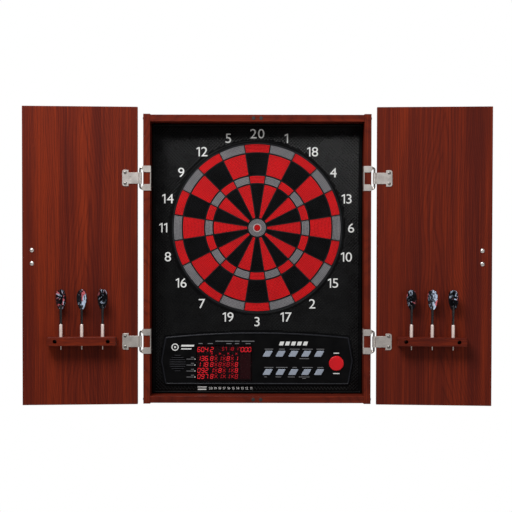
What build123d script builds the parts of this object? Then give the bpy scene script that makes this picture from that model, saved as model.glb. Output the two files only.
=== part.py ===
from build123d import *
from math import asin, cos, degrees, radians, sin
import os

# Electronic dartboard in a wall cabinet, doors open. Millimetres, +Z up, +X to the viewer's right.
# The wall is the plane y = 0 and the viewer stands at -Y. The origin is the centre of the back face.
# Front-view sketches lie on front(d), a plane d in front of the wall, and extrude towards the viewer.

# ---- driving dimensions ------------------------------------------------------------------------
# cabinet
cabinet_width = 528.0
cabinet_height = 672.0
cabinet_depth = 93.0
board_thickness = 16.0  # side boards and rails
rail_inset = 1.75  # rails stop short of the side boards' ends
panel_thickness = 3.0
rabbet_width = 8.0
edge_round = 1.0
case_screw_d = (20.0, 84.0)  # screws through the sides into the rails' ends

# doors, in the door's own frame: x from the hinge axis to the free edge, z out of the inner face
door_open = 176.0  # degrees from shut, as the doors stand at rest
hinge_x = 271.0
hinge_d = 94.0  # hinge axis, in front of the wall
door_near = 5.6
door_far = 270.0
door_bottom = -337.25
door_top = 352.0
door_thickness = 15.0
door_face = -1.0  # inner face, measured from the hinge axis

# hinges
hinge_heights = (-191.0, 187.4)  # two hinges a side
plate = 1.5
rod_radius = 2.2
rod_reach = 19.3  # half the rod's straight length
rod_bend = 5.0
bracket_half = 28.65
strap_inner = 13.85
leg_depth = 22.0
leaf_half = 13.0
leaf_wide_half = 18.9
leaf_wide_start = 26.6
leaf_end = 41.2
leaf_screw_x = 34.2
leaf_screw_z = 12.4
leg_screw_z = 20.0
leg_screw_d = 79.0
screw_radius = 1.7
screw_head_radius = 3.8
screw_head_height = 1.6
screw_point = 0.2  # radius of every screw's blunt point
pilot = 0.05  # room round a screw where its thread bites
clear = 0.15  # room round a screw where it passes through

# target
target_z = 73.0
web = 1.8
web_gap = 0.3  # clearance between a segment and the web
double_outer = 196.85
double_inner = 177.4
triple_outer = 122.6
triple_inner = 105.0
single_inner = 23.2
bull_outer = 20.8
bull_inner = 7.2
ring_walls = (197.9 + web / 2, 176.2, 123.8, 103.8, 22.0, 8.6)  # mid-radii of the round webs
wedges = 20

# distances in front of the wall, back to front
cover_back = 13.0
cover_front = 15.5
plate_back = 33.0
plate_front = 37.0
mat_front = 38.7
segment_back = 40.2
flange_front = 42.0
web_back = 42.3
face = 51.0  # front of the board
web_front = 51.8
rim_front = 54.0
pod_front = 55.0
bead_front = 56.2

# board
shell = 2.5
board_half_width = 246.5
board_half_height = 316.75
rim_width = 4.0
spider_rim = 200.4
opening_radius = 200.8
spider_flange = 206.0
boss_x = 236.0
boss_z = 306.0
boss_radius = 4.0
post_x = 200.0
post_z = 270.0

# console pod
pod_corner_x = 216.0
pod_top = -185.0
pod_peak = -173.5
pod_side_x = 226.0
pod_side_z = -240.5
pod_bottom = -296.0
bead_width = 3.0
window_x = -77.2
window_z = -245.6
window_width = 131.0
window_height = 85.0
key_x = 25.2
key_pitch = 30.3
key_rows = (-223.5, -266.7)
key_width = 16.9
key_height = 13.6
key_slant = 7.8
key_front = 57.5
key_gap = 0.4
start_x = 187.0
start_z = -246.0
start_radius = 17.4
speaker_x = -187.0
jack_x = 190.0
jack_d = 31.0

# darts and holders, in the door's own frame
holder_x = 133.0
holder_width = 158.5
holder_top = -178.2
holder_bottom = -198.2
holder_depth = 30.0
holder_screw = 60.2
dart_pitch = 47.5
dart_out = 14.0
dart_bottom = -208.0
barrel_bottom = -185.9
barrel_top = -149.0
shaft_top = -105.0
flight_bottom = -116.5
flight_top = -69.0
barrel_radius = 3.8
shaft_radius = 2.9
flight_half = 15.4

# handles
handle_x = 248.0
handle_z = 5.3
handle_pitch = 30.5

# wood screws, M4 handle screws and the small pan-head screws of the electronics
handle_screw_radius = 2.0
handle_head_radius = 5.2
handle_head_height = 2.4
pan_radius = 1.5
pan_head_radius = 2.8
pan_head_height = 1.8
pan_length = 9.0

# worked out
half_width = cabinet_width / 2
half_height = cabinet_height / 2
inner_x = half_width - board_thickness
rail_outer = half_height - rail_inset
rail_inner = rail_outer - board_thickness
rail_mid = (rail_outer + rail_inner) / 2
tilt = radians(180 - door_open)

os.makedirs("parts", exist_ok=True)


def front(distance):
    """A front-view plane, this far in front of the wall: x right, y up, extruding to the viewer."""
    return Plane.XZ.offset(distance)


def target(distance):
    """The same, centred on the bullseye."""
    return Plane(origin=(0, -distance, target_z), x_dir=(1, 0, 0), z_dir=(0, -1, 0))


# The right door's frame: origin on the hinge axis, x to the free edge, y up, z out of the inner face.
door_frame = Plane(
    origin=(hinge_x, -hinge_d, 0),
    x_dir=(cos(tilt), -sin(tilt), 0),
    z_dir=(-sin(tilt), -cos(tilt), 0),
)


def door_at(height):
    """A horizontal plane in the door's frame: x to the free edge, y into the door, at a height."""
    return Plane(
        origin=(hinge_x, -hinge_d, height),
        x_dir=(cos(tilt), -sin(tilt), 0),
        z_dir=(0, 0, 1),
    )


def save(piece, name):
    """Label a finished piece and write it as its own STEP file."""
    piece.label = name
    export_step(piece, f"parts/{name}.step")


def save_pair(piece, stem):
    """Write a right-hand piece and its mirror image on the left door."""
    save(piece, f"{stem}_right")
    save(mirror(piece, about=Plane.YZ), f"{stem}_left")


# ---- cabinet -----------------------------------------------------------------------------------
# Side board: full height, rabbeted at the back for the panel.
with BuildPart() as side_board:
    with BuildSketch(front(0)):
        with Locations(((inner_x + half_width) / 2, 0)):
            Rectangle(board_thickness, cabinet_height)
    extrude(amount=cabinet_depth)
    fillet(side_board.edges().filter_by(Axis.Z).group_by(Axis.X)[-1], edge_round)
    fillet(side_board.edges().filter_by(Axis.Z).group_by(Axis.Y)[0].sort_by(Axis.X)[0], edge_round)
    with BuildSketch(front(0)):
        with Locations((inner_x + rabbet_width / 2, 0)):
            Rectangle(rabbet_width, 2 * (rail_inner + rabbet_width))
    extrude(amount=panel_thickness, mode=Mode.SUBTRACT)
    # pilot holes for the case screws, through the board
    with Locations(
        *[
            Plane(origin=(half_width, -d, s * rail_mid), z_dir=(1, 0, 0))
            for d in case_screw_d
            for s in (-1, 1)
        ]
    ):
        Hole(screw_radius + pilot)
    # pilot holes for the hinge bracket screws, blind
    with Locations(
        *[
            Plane(origin=(inner_x, -leg_screw_d, h + z), z_dir=(-1, 0, 0))
            for h in hinge_heights
            for z in (-leg_screw_z, leg_screw_z)
        ]
    ):
        Hole(screw_radius + pilot, depth=12.5)
save(side_board.part, "side_right")
save(mirror(side_board.part, about=Plane.YZ), "side_left")

# Rails between the side boards, each with two magnet pockets in its front edge.
magnet_radius = 4.2
magnet_depth = 6.0
magnet_x = 8.7
jack_hole_radius = 9.0
rail_pilot_depth = 20.0


def rail(sign):
    """A top (+1) or bottom (-1) rail."""
    with BuildPart() as board:
        with BuildSketch(front(0)):
            with Locations((0, sign * rail_mid)):
                Rectangle(2 * inner_x, board_thickness)
        extrude(amount=cabinet_depth)
        front_edges = board.edges().filter_by(Axis.X).group_by(Axis.Y)[0]
        fillet(front_edges, edge_round)
        with BuildSketch(front(0)):
            with Locations((0, sign * (rail_inner + rabbet_width / 2))):
                Rectangle(2 * inner_x, rabbet_width)
        extrude(amount=panel_thickness, mode=Mode.SUBTRACT)
        with BuildSketch(front(cabinet_depth)):
            with Locations((-magnet_x, sign * rail_mid), (magnet_x, sign * rail_mid)):
                Circle(magnet_radius)
        extrude(amount=-magnet_depth, mode=Mode.SUBTRACT)
        # pilot holes for the case screws, into the rail's ends
        with Locations(
            *[
                Plane(origin=(s * inner_x, -d, sign * rail_mid), z_dir=(s, 0, 0))
                for d in case_screw_d
                for s in (-1, 1)
            ]
        ):
            Hole(screw_radius + pilot, depth=rail_pilot_depth)
        if sign < 0:  # the adapter lead's plug passes through the bottom rail
            with Locations(Plane(origin=(jack_x, -jack_d, -rail_outer), z_dir=(0, 0, -1))):
                Hole(jack_hole_radius)
    return board.part


save(rail(1), "top_rail")
save(rail(-1), "bottom_rail")

# Back panel: hardboard in the rabbets, with wall screw holes and the board's mounting holes.
wall_hole_radius = 2.75
wall_hole_x = 203.2  # half of the usual stud spacing
wall_hole_z = 240.0
mount_screw_radius = 1.7
mount_head_radius = 3.3
with BuildPart() as back_panel:
    with BuildSketch(front(0)):
        Rectangle(2 * (inner_x + rabbet_width), 2 * (rail_inner + rabbet_width))
        with GridLocations(2 * wall_hole_x, 2 * wall_hole_z, 2, 2):
            Circle(wall_hole_radius, mode=Mode.SUBTRACT)
    extrude(amount=panel_thickness)
    with Locations(
        *[
            Plane(origin=(sx * post_x, 0, sz * post_z), z_dir=(0, 1, 0))
            for sx in (-1, 1)
            for sz in (-1, 1)
        ]
    ):
        CounterSinkHole(mount_screw_radius + 0.1, mount_head_radius + 0.1, counter_sink_angle=90)
save(back_panel.part, "back_panel")

# Door magnets, standing slightly proud of the rails.
magnet_proud = 0.8
with BuildPart() as catch_magnets:
    with BuildSketch(front(cabinet_depth - magnet_depth)):
        with GridLocations(2 * magnet_x, 2 * rail_mid, 2, 2):
            Circle(magnet_radius)
    extrude(amount=magnet_depth + magnet_proud)
    chamfer(catch_magnets.faces().sort_by(Axis.Y)[:4].edges(), 0.5)
save(catch_magnets.part, "catch_magnets")

# ---- hinges ------------------------------------------------------------------------------------
# Each hinge: a wrap-round bracket on the side board, a bent rod whose straight run is the hinge pin,
# and a T-shaped leaf curled round the rod and screwed to the door's inner face.


def rod_path(height, side):
    """The bent rod's centre line beside the cabinet, round the hinge axis."""
    end_x = side * (hinge_x - rod_bend)
    pin_x = side * hinge_x
    reach = rod_reach + rod_bend
    with BuildLine(Plane.XZ.offset(hinge_d)) as line:
        FilletPolyline(
            (end_x, height + reach),
            (pin_x, height + reach),
            (pin_x, height - reach),
            (end_x, height - reach),
            radius=rod_bend * 0.98,
        )
    return line


def hinge_rod(height, side):
    path = rod_path(height, side)
    with BuildPart() as rod:
        with BuildSketch(Plane(origin=path.wires()[0] @ 0, z_dir=path.wires()[0] % 0)):
            Circle(rod_radius)
        sweep(path=path.wires()[0])
    return rod.part


with BuildPart() as hinge_pins:
    for s in (-1, 1):
        for h in hinge_heights:
            add(hinge_rod(h, s))
save(hinge_pins.part, "hinge_pins")

strap_outer_x = hinge_x - 2.6
strap_corner = 2.6
strap_end = 7.2  # length of the strap's outer end, measured from its outer edge
strap_root = 3.0
with BuildPart() as hinge_brackets:
    for h in hinge_heights:
        # leg on the side board's inner face
        with BuildSketch(front(cabinet_depth - leg_depth)):
            with Locations((inner_x - plate / 2, h)):
                Rectangle(plate, 2 * bracket_half)
        extrude(amount=leg_depth)
        # two straps across the front edge, out to the rod
        with BuildSketch(front(cabinet_depth)):
            for s in (-1, 1):
                near = h + s * strap_inner
                far = h + s * bracket_half
                with BuildLine():
                    Polyline(
                        (inner_x - plate, near),
                        (inner_x - plate, far),
                        (half_width, far),
                        (strap_outer_x, far - s * strap_corner),
                        (strap_outer_x, far - s * strap_end),
                        (half_width - strap_root, near),
                        (inner_x - plate, near),
                    )
                make_face()
        extrude(amount=plate)
    # screw holes in the leg
    with Locations(
        *[
            Plane(origin=(inner_x - plate, -leg_screw_d, h + z), z_dir=(-1, 0, 0))
            for h in hinge_heights
            for z in (-leg_screw_z, leg_screw_z)
        ]
    ):
        Hole(screw_radius + clear, depth=plate * 2)
    # the same brackets on the left, then room for the rods' ends
    mirror(about=Plane.YZ)
    add(hinge_pins.part, mode=Mode.SUBTRACT)
save(hinge_brackets.part, "hinge_brackets")

# Leaf: a T-shaped plate, let a little way into the door, with its knuckle curled round the rod.
knuckle_bore = rod_radius + 0.08
knuckle_radius = knuckle_bore + plate
leaf_corner = 5.0
leaf_edge = 0.4  # bevel round the leaf's front
leaf_dimple = (8.0, 4.5)  # shallow pressed slot between the screws and the knuckle
leaf_dimple_x = 22.4
leaf_dimple_depth = 0.6
with BuildPart() as leaves:
    for h in hinge_heights:
        with BuildSketch(door_at(h - leaf_half)):
            Circle(knuckle_radius)
        extrude(amount=2 * leaf_half)
        with BuildSketch(door_frame.offset(door_face)):
            with Locations((leaf_wide_start / 2, h)):
                Rectangle(leaf_wide_start, 2 * leaf_half)
            with Locations(((leaf_wide_start + leaf_end) / 2, h)):
                wide = Rectangle(leaf_end - leaf_wide_start, 2 * leaf_wide_half)
            fillet(wide.vertices().group_by(Axis.X)[-1], leaf_corner)
        extrude(amount=plate)
        front_face = leaves.faces().filter_by(door_frame).sort_by(Axis.Y)[0]
        chamfer(front_face.edges().filter_by(lambda edge: edge.center().X > hinge_x + 8), leaf_edge)
        with BuildSketch(door_frame.offset(door_face)):
            with Locations(*[(leaf_screw_x, h + s * leaf_screw_z) for s in (-1, 1)]):
                Circle(screw_radius + clear)
        extrude(amount=plate, mode=Mode.SUBTRACT)
        with BuildSketch(door_frame.offset(door_face + plate)):
            with Locations((leaf_dimple_x, h)):
                SlotOverall(*leaf_dimple, rotation=90)
        extrude(amount=-leaf_dimple_depth, mode=Mode.SUBTRACT)
    for h in hinge_heights:
        with BuildSketch(door_at(h - leaf_half - 1)):
            Circle(knuckle_bore)
        extrude(amount=2 * leaf_half + 2, mode=Mode.SUBTRACT)
save_pair(leaves.part, "hinge_leaves")

# ---- fasteners ---------------------------------------------------------------------------------
# Each screw is drawn once, upright, with the underside of its head at the origin.


def domed_screw(radius, length, head_radius, head_height):
    """A pointed round-head screw with a cross recess."""
    with BuildPart() as screw:
        with BuildSketch(Plane.XZ):
            with BuildLine():
                Polyline(
                    (0, head_height),
                    (0, -length),
                    (screw_point, -length),
                    (radius, 1.6 * radius - length),
                    (radius, 0),
                    (head_radius, 0),
                )
                ThreePointArc(
                    (head_radius, 0),
                    (head_radius * 0.72, head_height * 0.7),
                    (0, head_height),
                )
            make_face()
        revolve(axis=Axis.Z)
        with BuildSketch(Plane.XY.offset(head_height * 0.4)):
            Rectangle(head_radius, head_radius * 0.22)
            Rectangle(head_radius * 0.22, head_radius)
        extrude(amount=head_height, mode=Mode.SUBTRACT)
    return screw.part


case_screw = domed_screw(screw_radius, 30.0, screw_head_radius, screw_head_height)
wood_screw = domed_screw(screw_radius, 11.0, screw_head_radius, screw_head_height)
holder_wood_screw = domed_screw(screw_radius, 16.0, screw_head_radius, screw_head_height)
handle_screw = domed_screw(handle_screw_radius, 23.0, handle_head_radius, handle_head_height)
pan_screw = domed_screw(pan_radius, pan_length, pan_head_radius, pan_head_height)


def case_screw_places():
    """Through the side boards into the rails' ends."""
    return [
        Location(Plane(origin=(sx * half_width, -d, sz * rail_mid), z_dir=(sx, 0, 0)))
        for sx in (-1, 1)
        for sz in (-1, 1)
        for d in case_screw_d
    ]


def leg_screw_places():
    """Through the hinge brackets' legs into the side boards."""
    return [
        Location(
            Plane(
                origin=(sx * (inner_x - plate), -leg_screw_d, h + z),
                z_dir=(-sx, 0, 0),
            )
        )
        for sx in (-1, 1)
        for h in hinge_heights
        for z in (-leg_screw_z, leg_screw_z)
    ]


with BuildPart() as cabinet_screws:
    with Locations(*case_screw_places()):
        add(case_screw)
    with Locations(*leg_screw_places()):
        add(wood_screw)
save(cabinet_screws.part, "cabinet_screws")

# ---- doors -------------------------------------------------------------------------------------
leaf_screws = [
    (leaf_screw_x, h + z)
    for h in hinge_heights
    for z in (-leaf_screw_z, leaf_screw_z)
]
holder_z = (holder_top + holder_bottom) / 2
holder_screws = [(holder_x - holder_screw, holder_z), (holder_x + holder_screw, holder_z)]
handle_screws = [(handle_x, handle_z - handle_pitch / 2), (handle_x, handle_z + handle_pitch / 2)]
holder_screw_floor = 6.0  # wood left under a sunk screw's head
holder_counterbore = 4.7
door_pilot_depth = 11.0


def on_door(x, z, out):
    """A place on the right door: x from the hinge axis, z up, out from the axis towards the room."""
    return door_frame.location * Location((x, z, out))


with BuildPart() as door:
    with BuildSketch(door_frame.offset(door_face)):
        with Locations(((door_near + door_far) / 2, (door_bottom + door_top) / 2)):
            Rectangle(door_far - door_near, door_top - door_bottom)
    extrude(amount=-door_thickness)
    fillet(door.edges(), edge_round)
    with BuildSketch(door_frame.offset(door_face)):
        with Locations(*handle_screws):
            Circle(handle_screw_radius + clear)
    extrude(amount=-door_thickness, mode=Mode.SUBTRACT)
    with BuildSketch(door_frame.offset(door_face)):
        with Locations(*leaf_screws, *holder_screws):
            Circle(screw_radius + pilot)
    extrude(amount=-door_pilot_depth, mode=Mode.SUBTRACT)
save_pair(door.part, "door")

with BuildPart() as door_screws:
    with Locations(*[on_door(x, z, door_face + plate) for x, z in leaf_screws]):
        add(wood_screw)
    with Locations(*[on_door(x, z, door_face + holder_screw_floor) for x, z in holder_screws]):
        add(holder_wood_screw)
save_pair(door_screws.part, "door_screws")

with BuildPart() as door_handle_screws:
    with Locations(*[on_door(x, z, door_face) for x, z in handle_screws]):
        add(handle_screw)
save_pair(door_handle_screws.part, "handle_screws")

# Bow handle on the door's outer face.
handle_bar = 4.5
handle_reach = 24.0
handle_bend = 10.0
handle_foot = (7.0, 2.0)  # radius and thickness of the round foot at each end
handle_thread_depth = 9.0
door_back = door_face - door_thickness
handle_plane = Plane(
    origin=on_door(handle_x, 0, 0).position,
    x_dir=(0, 0, 1),
    z_dir=(cos(tilt), -sin(tilt), 0),
)
with BuildPart() as handle:
    with BuildLine(handle_plane) as bow:
        FilletPolyline(
            (handle_z - handle_pitch / 2, door_back),
            (handle_z - handle_pitch / 2, door_back - handle_reach),
            (handle_z + handle_pitch / 2, door_back - handle_reach),
            (handle_z + handle_pitch / 2, door_back),
            radius=handle_bend,
        )
    with BuildSketch(Plane(origin=bow.wires()[0] @ 0, z_dir=bow.wires()[0] % 0)):
        Circle(handle_bar)
    sweep(path=bow.wires()[0])
    with BuildSketch(door_frame.offset(door_back)):
        with Locations(*handle_screws):
            Circle(handle_foot[0])
    extrude(amount=-handle_foot[1])
    with BuildSketch(door_frame.offset(door_back)):
        with Locations(*handle_screws):
            Circle(handle_screw_radius + clear)
    extrude(amount=-handle_thread_depth, mode=Mode.SUBTRACT)
save_pair(handle.part, "handle")

# Dart holder: a wooden block with three stepped holes, fixed by two sunk screws.
tip_hole = 2.6
dart_gap = 0.3
dart_x = [holder_x + k * dart_pitch for k in (-1, 0, 1)]
with BuildPart() as dart_holder:
    with BuildSketch(door_frame.offset(door_face)):
        with Locations((holder_x, holder_z)):
            Rectangle(holder_width, holder_top - holder_bottom)
    extrude(amount=holder_depth)
    fillet(dart_holder.edges().filter_by(Axis.Z), 4)
    fillet(dart_holder.faces().sort_by(Axis.Y)[0].edges(), 1.5)
    with BuildSketch(door_at(holder_top)):
        with Locations(*[(x, -dart_out) for x in dart_x]):
            Circle(tip_hole)
    extrude(amount=holder_bottom - holder_top, mode=Mode.SUBTRACT)
    with BuildSketch(door_at(holder_top)):
        with Locations(*[(x, -dart_out) for x in dart_x]):
            Circle(barrel_radius + dart_gap)
    extrude(amount=barrel_bottom - dart_gap - holder_top, mode=Mode.SUBTRACT)
    with BuildSketch(door_frame.offset(door_face)):
        with Locations(*holder_screws):
            Circle(screw_radius + clear)
    extrude(amount=holder_depth, mode=Mode.SUBTRACT)
    with BuildSketch(door_frame.offset(door_face + holder_depth)):
        with Locations(*holder_screws):
            Circle(holder_counterbore)
    extrude(amount=holder_screw_floor - holder_depth, mode=Mode.SUBTRACT)
save_pair(dart_holder.part, "dart_holder")

# ---- darts -------------------------------------------------------------------------------------
# Soft-tip darts, point down: moulded tip, ringed metal barrel, shaft and a four-vane flight.
with BuildPart() as dart_tip:
    with BuildSketch(Plane.XZ):
        with BuildLine():
            Polyline(
                (0, dart_bottom),
                (0.6, dart_bottom),
                (1.3, dart_bottom + 3),
                (1.9, barrel_bottom - 5),
                (2.2, barrel_bottom),
                (0, barrel_bottom),
                close=True,
            )
        make_face()
    revolve(axis=Axis.Z)

ring_count = 9
plain_end = 4.0
ring_pitch = (barrel_top - barrel_bottom - 2 * plain_end) / ring_count
ring_groove = (0.7, 0.8)
with BuildPart() as dart_barrel:
    with BuildSketch(Plane.XZ):
        with Locations((barrel_radius / 2, (barrel_top + barrel_bottom) / 2)):
            Rectangle(barrel_radius, barrel_top - barrel_bottom)
        first_ring = barrel_bottom + plain_end + ring_pitch / 2
        with Locations(*[(barrel_radius, first_ring + n * ring_pitch) for n in range(ring_count)]):
            Rectangle(*ring_groove, mode=Mode.SUBTRACT)
    revolve(axis=Axis.Z)
    chamfer(dart_barrel.faces().sort_by(Axis.Z)[-1].edges(), 0.8)
    chamfer(dart_barrel.faces().sort_by(Axis.Z)[0].edges(), 0.6)

vane = 0.8
with BuildPart() as dart_flight:
    with BuildSketch(Plane.XZ) as vane_outline:
        with BuildLine():
            Line((0, flight_bottom), (1.5, flight_bottom))
            Spline(
                (1.5, flight_bottom),
                (flight_half * 0.8, flight_bottom + 12),
                (flight_half, flight_bottom + 27),
                (flight_half * 0.76, flight_top - 5),
                (0, flight_top),
                tangents=[(0.5, 1), (-1, 0.25)],
            )
            Line((0, flight_top), (0, flight_bottom))
        make_face()
        mirror(about=Plane.YZ)
    extrude(amount=vane / 2, both=True)
    add(dart_flight.part.rotate(Axis.Z, 90))

with BuildPart() as dart_shaft:
    with BuildSketch(Plane.XY.offset(barrel_top)):
        Circle(shaft_radius)
    extrude(amount=shaft_top - barrel_top)
    chamfer(dart_shaft.faces().sort_by(Axis.Z)[-1].edges(), 1.2)
    add(dart_flight.part, mode=Mode.SUBTRACT)

dart_pieces = [dart_tip.part, dart_barrel.part, dart_shaft.part, dart_flight.part]
for number, x in enumerate(dart_x, start=1):
    place = door_at(0).location * Location((x, -dart_out, 0), (0, 0, 45))
    dart = Compound(children=[piece.moved(place) for piece in dart_pieces])
    save(dart, f"dart_right_{number}")
    save(mirror(dart, about=Plane.YZ), f"dart_left_{number}")

# ---- target: web, segments, contact mat and backing plate -------------------------------------
# Web of the target: round walls and twenty spokes inside a flanged rim, behind the housing's front.
spoke_inner = ring_walls[-2]
spoke_outer = ring_walls[0]
bull_wall = ring_walls[-1]
bridges = 4
bridge_height = 2.5
skirt_back = mat_front + 0.3
flange = 1.0  # how far a segment's back edge reaches under the web
flange_thickness = 2.7
with BuildPart() as spider:
    with BuildSketch(target(web_back)):
        for middle in ring_walls[1:]:
            with BuildSketch(mode=Mode.PRIVATE) as wall:
                Circle(middle + web / 2)
                Circle(middle - web / 2, mode=Mode.SUBTRACT)
            add(wall.sketch)
        with PolarLocations((spoke_inner + spoke_outer) / 2, wedges, start_angle=180 / wedges):
            Rectangle(spoke_outer - spoke_inner, web)
    extrude(amount=web_front - web_back)
    # low bridges that carry the wall round the inner bull, under the outer bull
    with BuildSketch(target(web_back)):
        with PolarLocations((spoke_inner + bull_wall) / 2, bridges, start_angle=180 / wedges):
            Rectangle(spoke_inner - bull_wall, web)
    extrude(amount=bridge_height)
    with BuildSketch(target(web_back)):
        Circle(spider_rim)
        Circle(double_outer + web_gap, mode=Mode.SUBTRACT)
    extrude(amount=web_front - web_back)
    # skirt that stands on the contact mat, and the flange behind the housing's front
    with BuildSketch(target(skirt_back)):
        Circle(spider_rim)
        Circle(double_outer + flange + 0.45, mode=Mode.SUBTRACT)
    extrude(amount=web_back - skirt_back)
    with BuildSketch(target(face - shell - 0.3)):
        Circle(spider_flange)
        Circle(spider_rim - 0.5, mode=Mode.SUBTRACT)
    extrude(amount=-flange_thickness)
save(spider.part, "spider")

segment_gap = web + 2 * web_gap
front_chamfer = 0.4


def polar(radius, angle):
    return (radius * cos(radians(angle)), radius * sin(radians(angle)))


def segment_outline(inner, outer, gap):
    """One scoring segment, centred on the x axis, its sides half a gap from the wedge's edges."""
    half_wedge = 180 / wedges
    near = half_wedge - degrees(asin(gap / 2 / inner))
    far = half_wedge - degrees(asin(gap / 2 / outer))
    with BuildSketch() as outline:
        with BuildLine():
            ThreePointArc(polar(outer, -far), polar(outer, 0), polar(outer, far))
            Line(polar(outer, far), polar(inner, near))
            ThreePointArc(polar(inner, near), polar(inner, 0), polar(inner, -near))
            Line(polar(inner, -near), polar(outer, -far))
        make_face()
    return outline.sketch


def segments(name, inner, outer, turn):
    """Every second segment of a ring, from the wedge at this angle, each with a flange behind the web."""
    with BuildPart() as ring:
        with BuildSketch(target(flange_front)):
            with PolarLocations(0, wedges // 2, start_angle=turn):
                add(segment_outline(inner, outer, segment_gap))
        extrude(amount=face - flange_front)
        chamfer(ring.faces().sort_by(Axis.Y)[: wedges // 2].edges(), front_chamfer)
        with BuildSketch(target(segment_back)):
            with PolarLocations(0, wedges // 2, start_angle=turn):
                add(segment_outline(inner - flange, outer + flange, segment_gap - 2 * flange))
        extrude(amount=flange_front - segment_back)
    save(ring.part, name)


upright = 90
next_wedge = upright - 360 / wedges
single_outer_outer = 2 * ring_walls[1] - double_inner
single_outer_inner = 2 * ring_walls[2] - triple_outer
single_inner_outer = 2 * ring_walls[3] - triple_inner
segments("double_segments_red", double_inner, double_outer, upright)
segments("double_segments_grey", double_inner, double_outer, next_wedge)
segments("outer_single_segments_black", single_outer_inner, single_outer_outer, upright)
segments("outer_single_segments_red", single_outer_inner, single_outer_outer, next_wedge)
segments("triple_segments_red", triple_inner, triple_outer, upright)
segments("triple_segments_grey", triple_inner, triple_outer, next_wedge)
segments("inner_single_segments_black", single_inner, single_inner_outer, upright)
segments("inner_single_segments_red", single_inner, single_inner_outer, next_wedge)

bull_hole = 2 * bull_wall - bull_inner
with BuildPart() as outer_bull:
    with BuildSketch(target(segment_back)):
        Circle(bull_outer + flange)
    extrude(amount=flange_front - segment_back)
    with BuildSketch(target(flange_front)):
        Circle(bull_outer)
    extrude(amount=face - flange_front)
    with BuildSketch(target(segment_back)):
        Circle(bull_hole)
    extrude(amount=face - segment_back, mode=Mode.SUBTRACT)
    chamfer(outer_bull.faces().sort_by(Axis.Y)[0].edges(), front_chamfer)
    # slots over the bridges, deep enough for the travel
    with BuildSketch(target(segment_back)):
        with PolarLocations((spoke_inner + bull_wall) / 2, bridges, start_angle=180 / wedges):
            Rectangle(spoke_inner - bull_wall + 3, segment_gap)
    extrude(amount=web_back + bridge_height + 1.6 - segment_back, mode=Mode.SUBTRACT)
save(outer_bull.part, "outer_bull")

with BuildPart() as inner_bull:
    with BuildSketch(target(segment_back)):
        Circle(bull_inner + flange)
    extrude(amount=flange_front - segment_back)
    with BuildSketch(target(flange_front)):
        Circle(bull_inner)
    extrude(amount=face - flange_front)
    chamfer(inner_bull.faces().sort_by(Axis.Y)[0].edges(), front_chamfer)
save(inner_bull.part, "inner_bull")

# Contact mat: the switch film behind the segments, with its flat tail down to the main board.
mat_radius = 202.0
tail_width = 30.0
tail_x = 60.0
tail_start = target_z - 150
tail_end = -232.0
tail_thickness = 0.5
with BuildPart() as contact_mat:
    with BuildSketch(target(plate_front)):
        Circle(mat_radius - 4)
    extrude(amount=mat_front - plate_front)
    with BuildSketch(front(mat_front - tail_thickness)):
        with Locations((tail_x, (tail_end + tail_start) / 2)):
            Rectangle(tail_width, tail_start - tail_end)
    extrude(amount=tail_thickness)
save(contact_mat.part, "contact_mat")

with BuildPart() as backing_plate:
    with BuildSketch(target(plate_back)):
        Circle(mat_radius)
    extrude(amount=plate_front - plate_back)
save(backing_plate.part, "backing_plate")

# ---- front housing -----------------------------------------------------------------------------
window_lip = 2.0
lens_thickness = 2.2
display_posts = (70.5, 44.0)
board_posts = (100.0, 36.0)
main_x = 106.0
main_z = -246.0
pcb_back = 42.6
pcb_front = 44.2
corner = 3.0
grille_radius = 19.4
grille_pitch = 5.2
grille_slot = 2.4
standoff_radius = 2.8
jack_nose = 4.0
lens_back = pod_front - 2.4


def pod_outline(inset=0.0):
    """The console's outline: an arched top edge and sides that swell at mid-height."""
    with BuildSketch() as outline:
        with BuildLine():
            ThreePointArc((-pod_corner_x, pod_top), (0, pod_peak), (pod_corner_x, pod_top))
            Polyline(
                (pod_corner_x, pod_top),
                (pod_side_x, pod_side_z),
                (pod_corner_x, pod_bottom),
                (-pod_corner_x, pod_bottom),
                (-pod_side_x, pod_side_z),
                (-pod_corner_x, pod_top),
            )
        make_face()
        fillet(outline.vertices().filter_by(lambda v: abs(v.X) < pod_side_x - 1), 5)
        fillet(outline.vertices().filter_by(lambda v: abs(v.X) > pod_side_x - 1), 25)
        if inset:
            offset(amount=-inset)
    return outline.sketch


def key_outline(grow=0.0):
    """A key's leaning parallelogram, centred."""
    with BuildSketch() as outline:
        with BuildLine():
            Polyline(
                (-(key_width + key_slant) / 2, -key_height / 2),
                ((key_width - key_slant) / 2, -key_height / 2),
                ((key_width + key_slant) / 2, key_height / 2),
                (-(key_width - key_slant) / 2, key_height / 2),
                close=True,
            )
        make_face()
        fillet(outline.vertices(), 1.2)
        if grow:
            offset(amount=grow)
    return outline.sketch


key_places = [(key_x + column * key_pitch, z) for z in key_rows for column in range(5)]
bosses = [(sx * boss_x, sz * boss_z) for sx in (-1, 1) for sz in (-1, 1)]
bosses += [(-boss_x, 0), (boss_x, 0), (0, boss_z), (0, -boss_z)]
standoffs = [
    (x + sx * half[0], z + sz * half[1])
    for x, z, half in ((window_x, window_z, display_posts), (main_x, main_z, board_posts))
    for sx in (-1, 1)
    for sz in (-1, 1)
]

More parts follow.
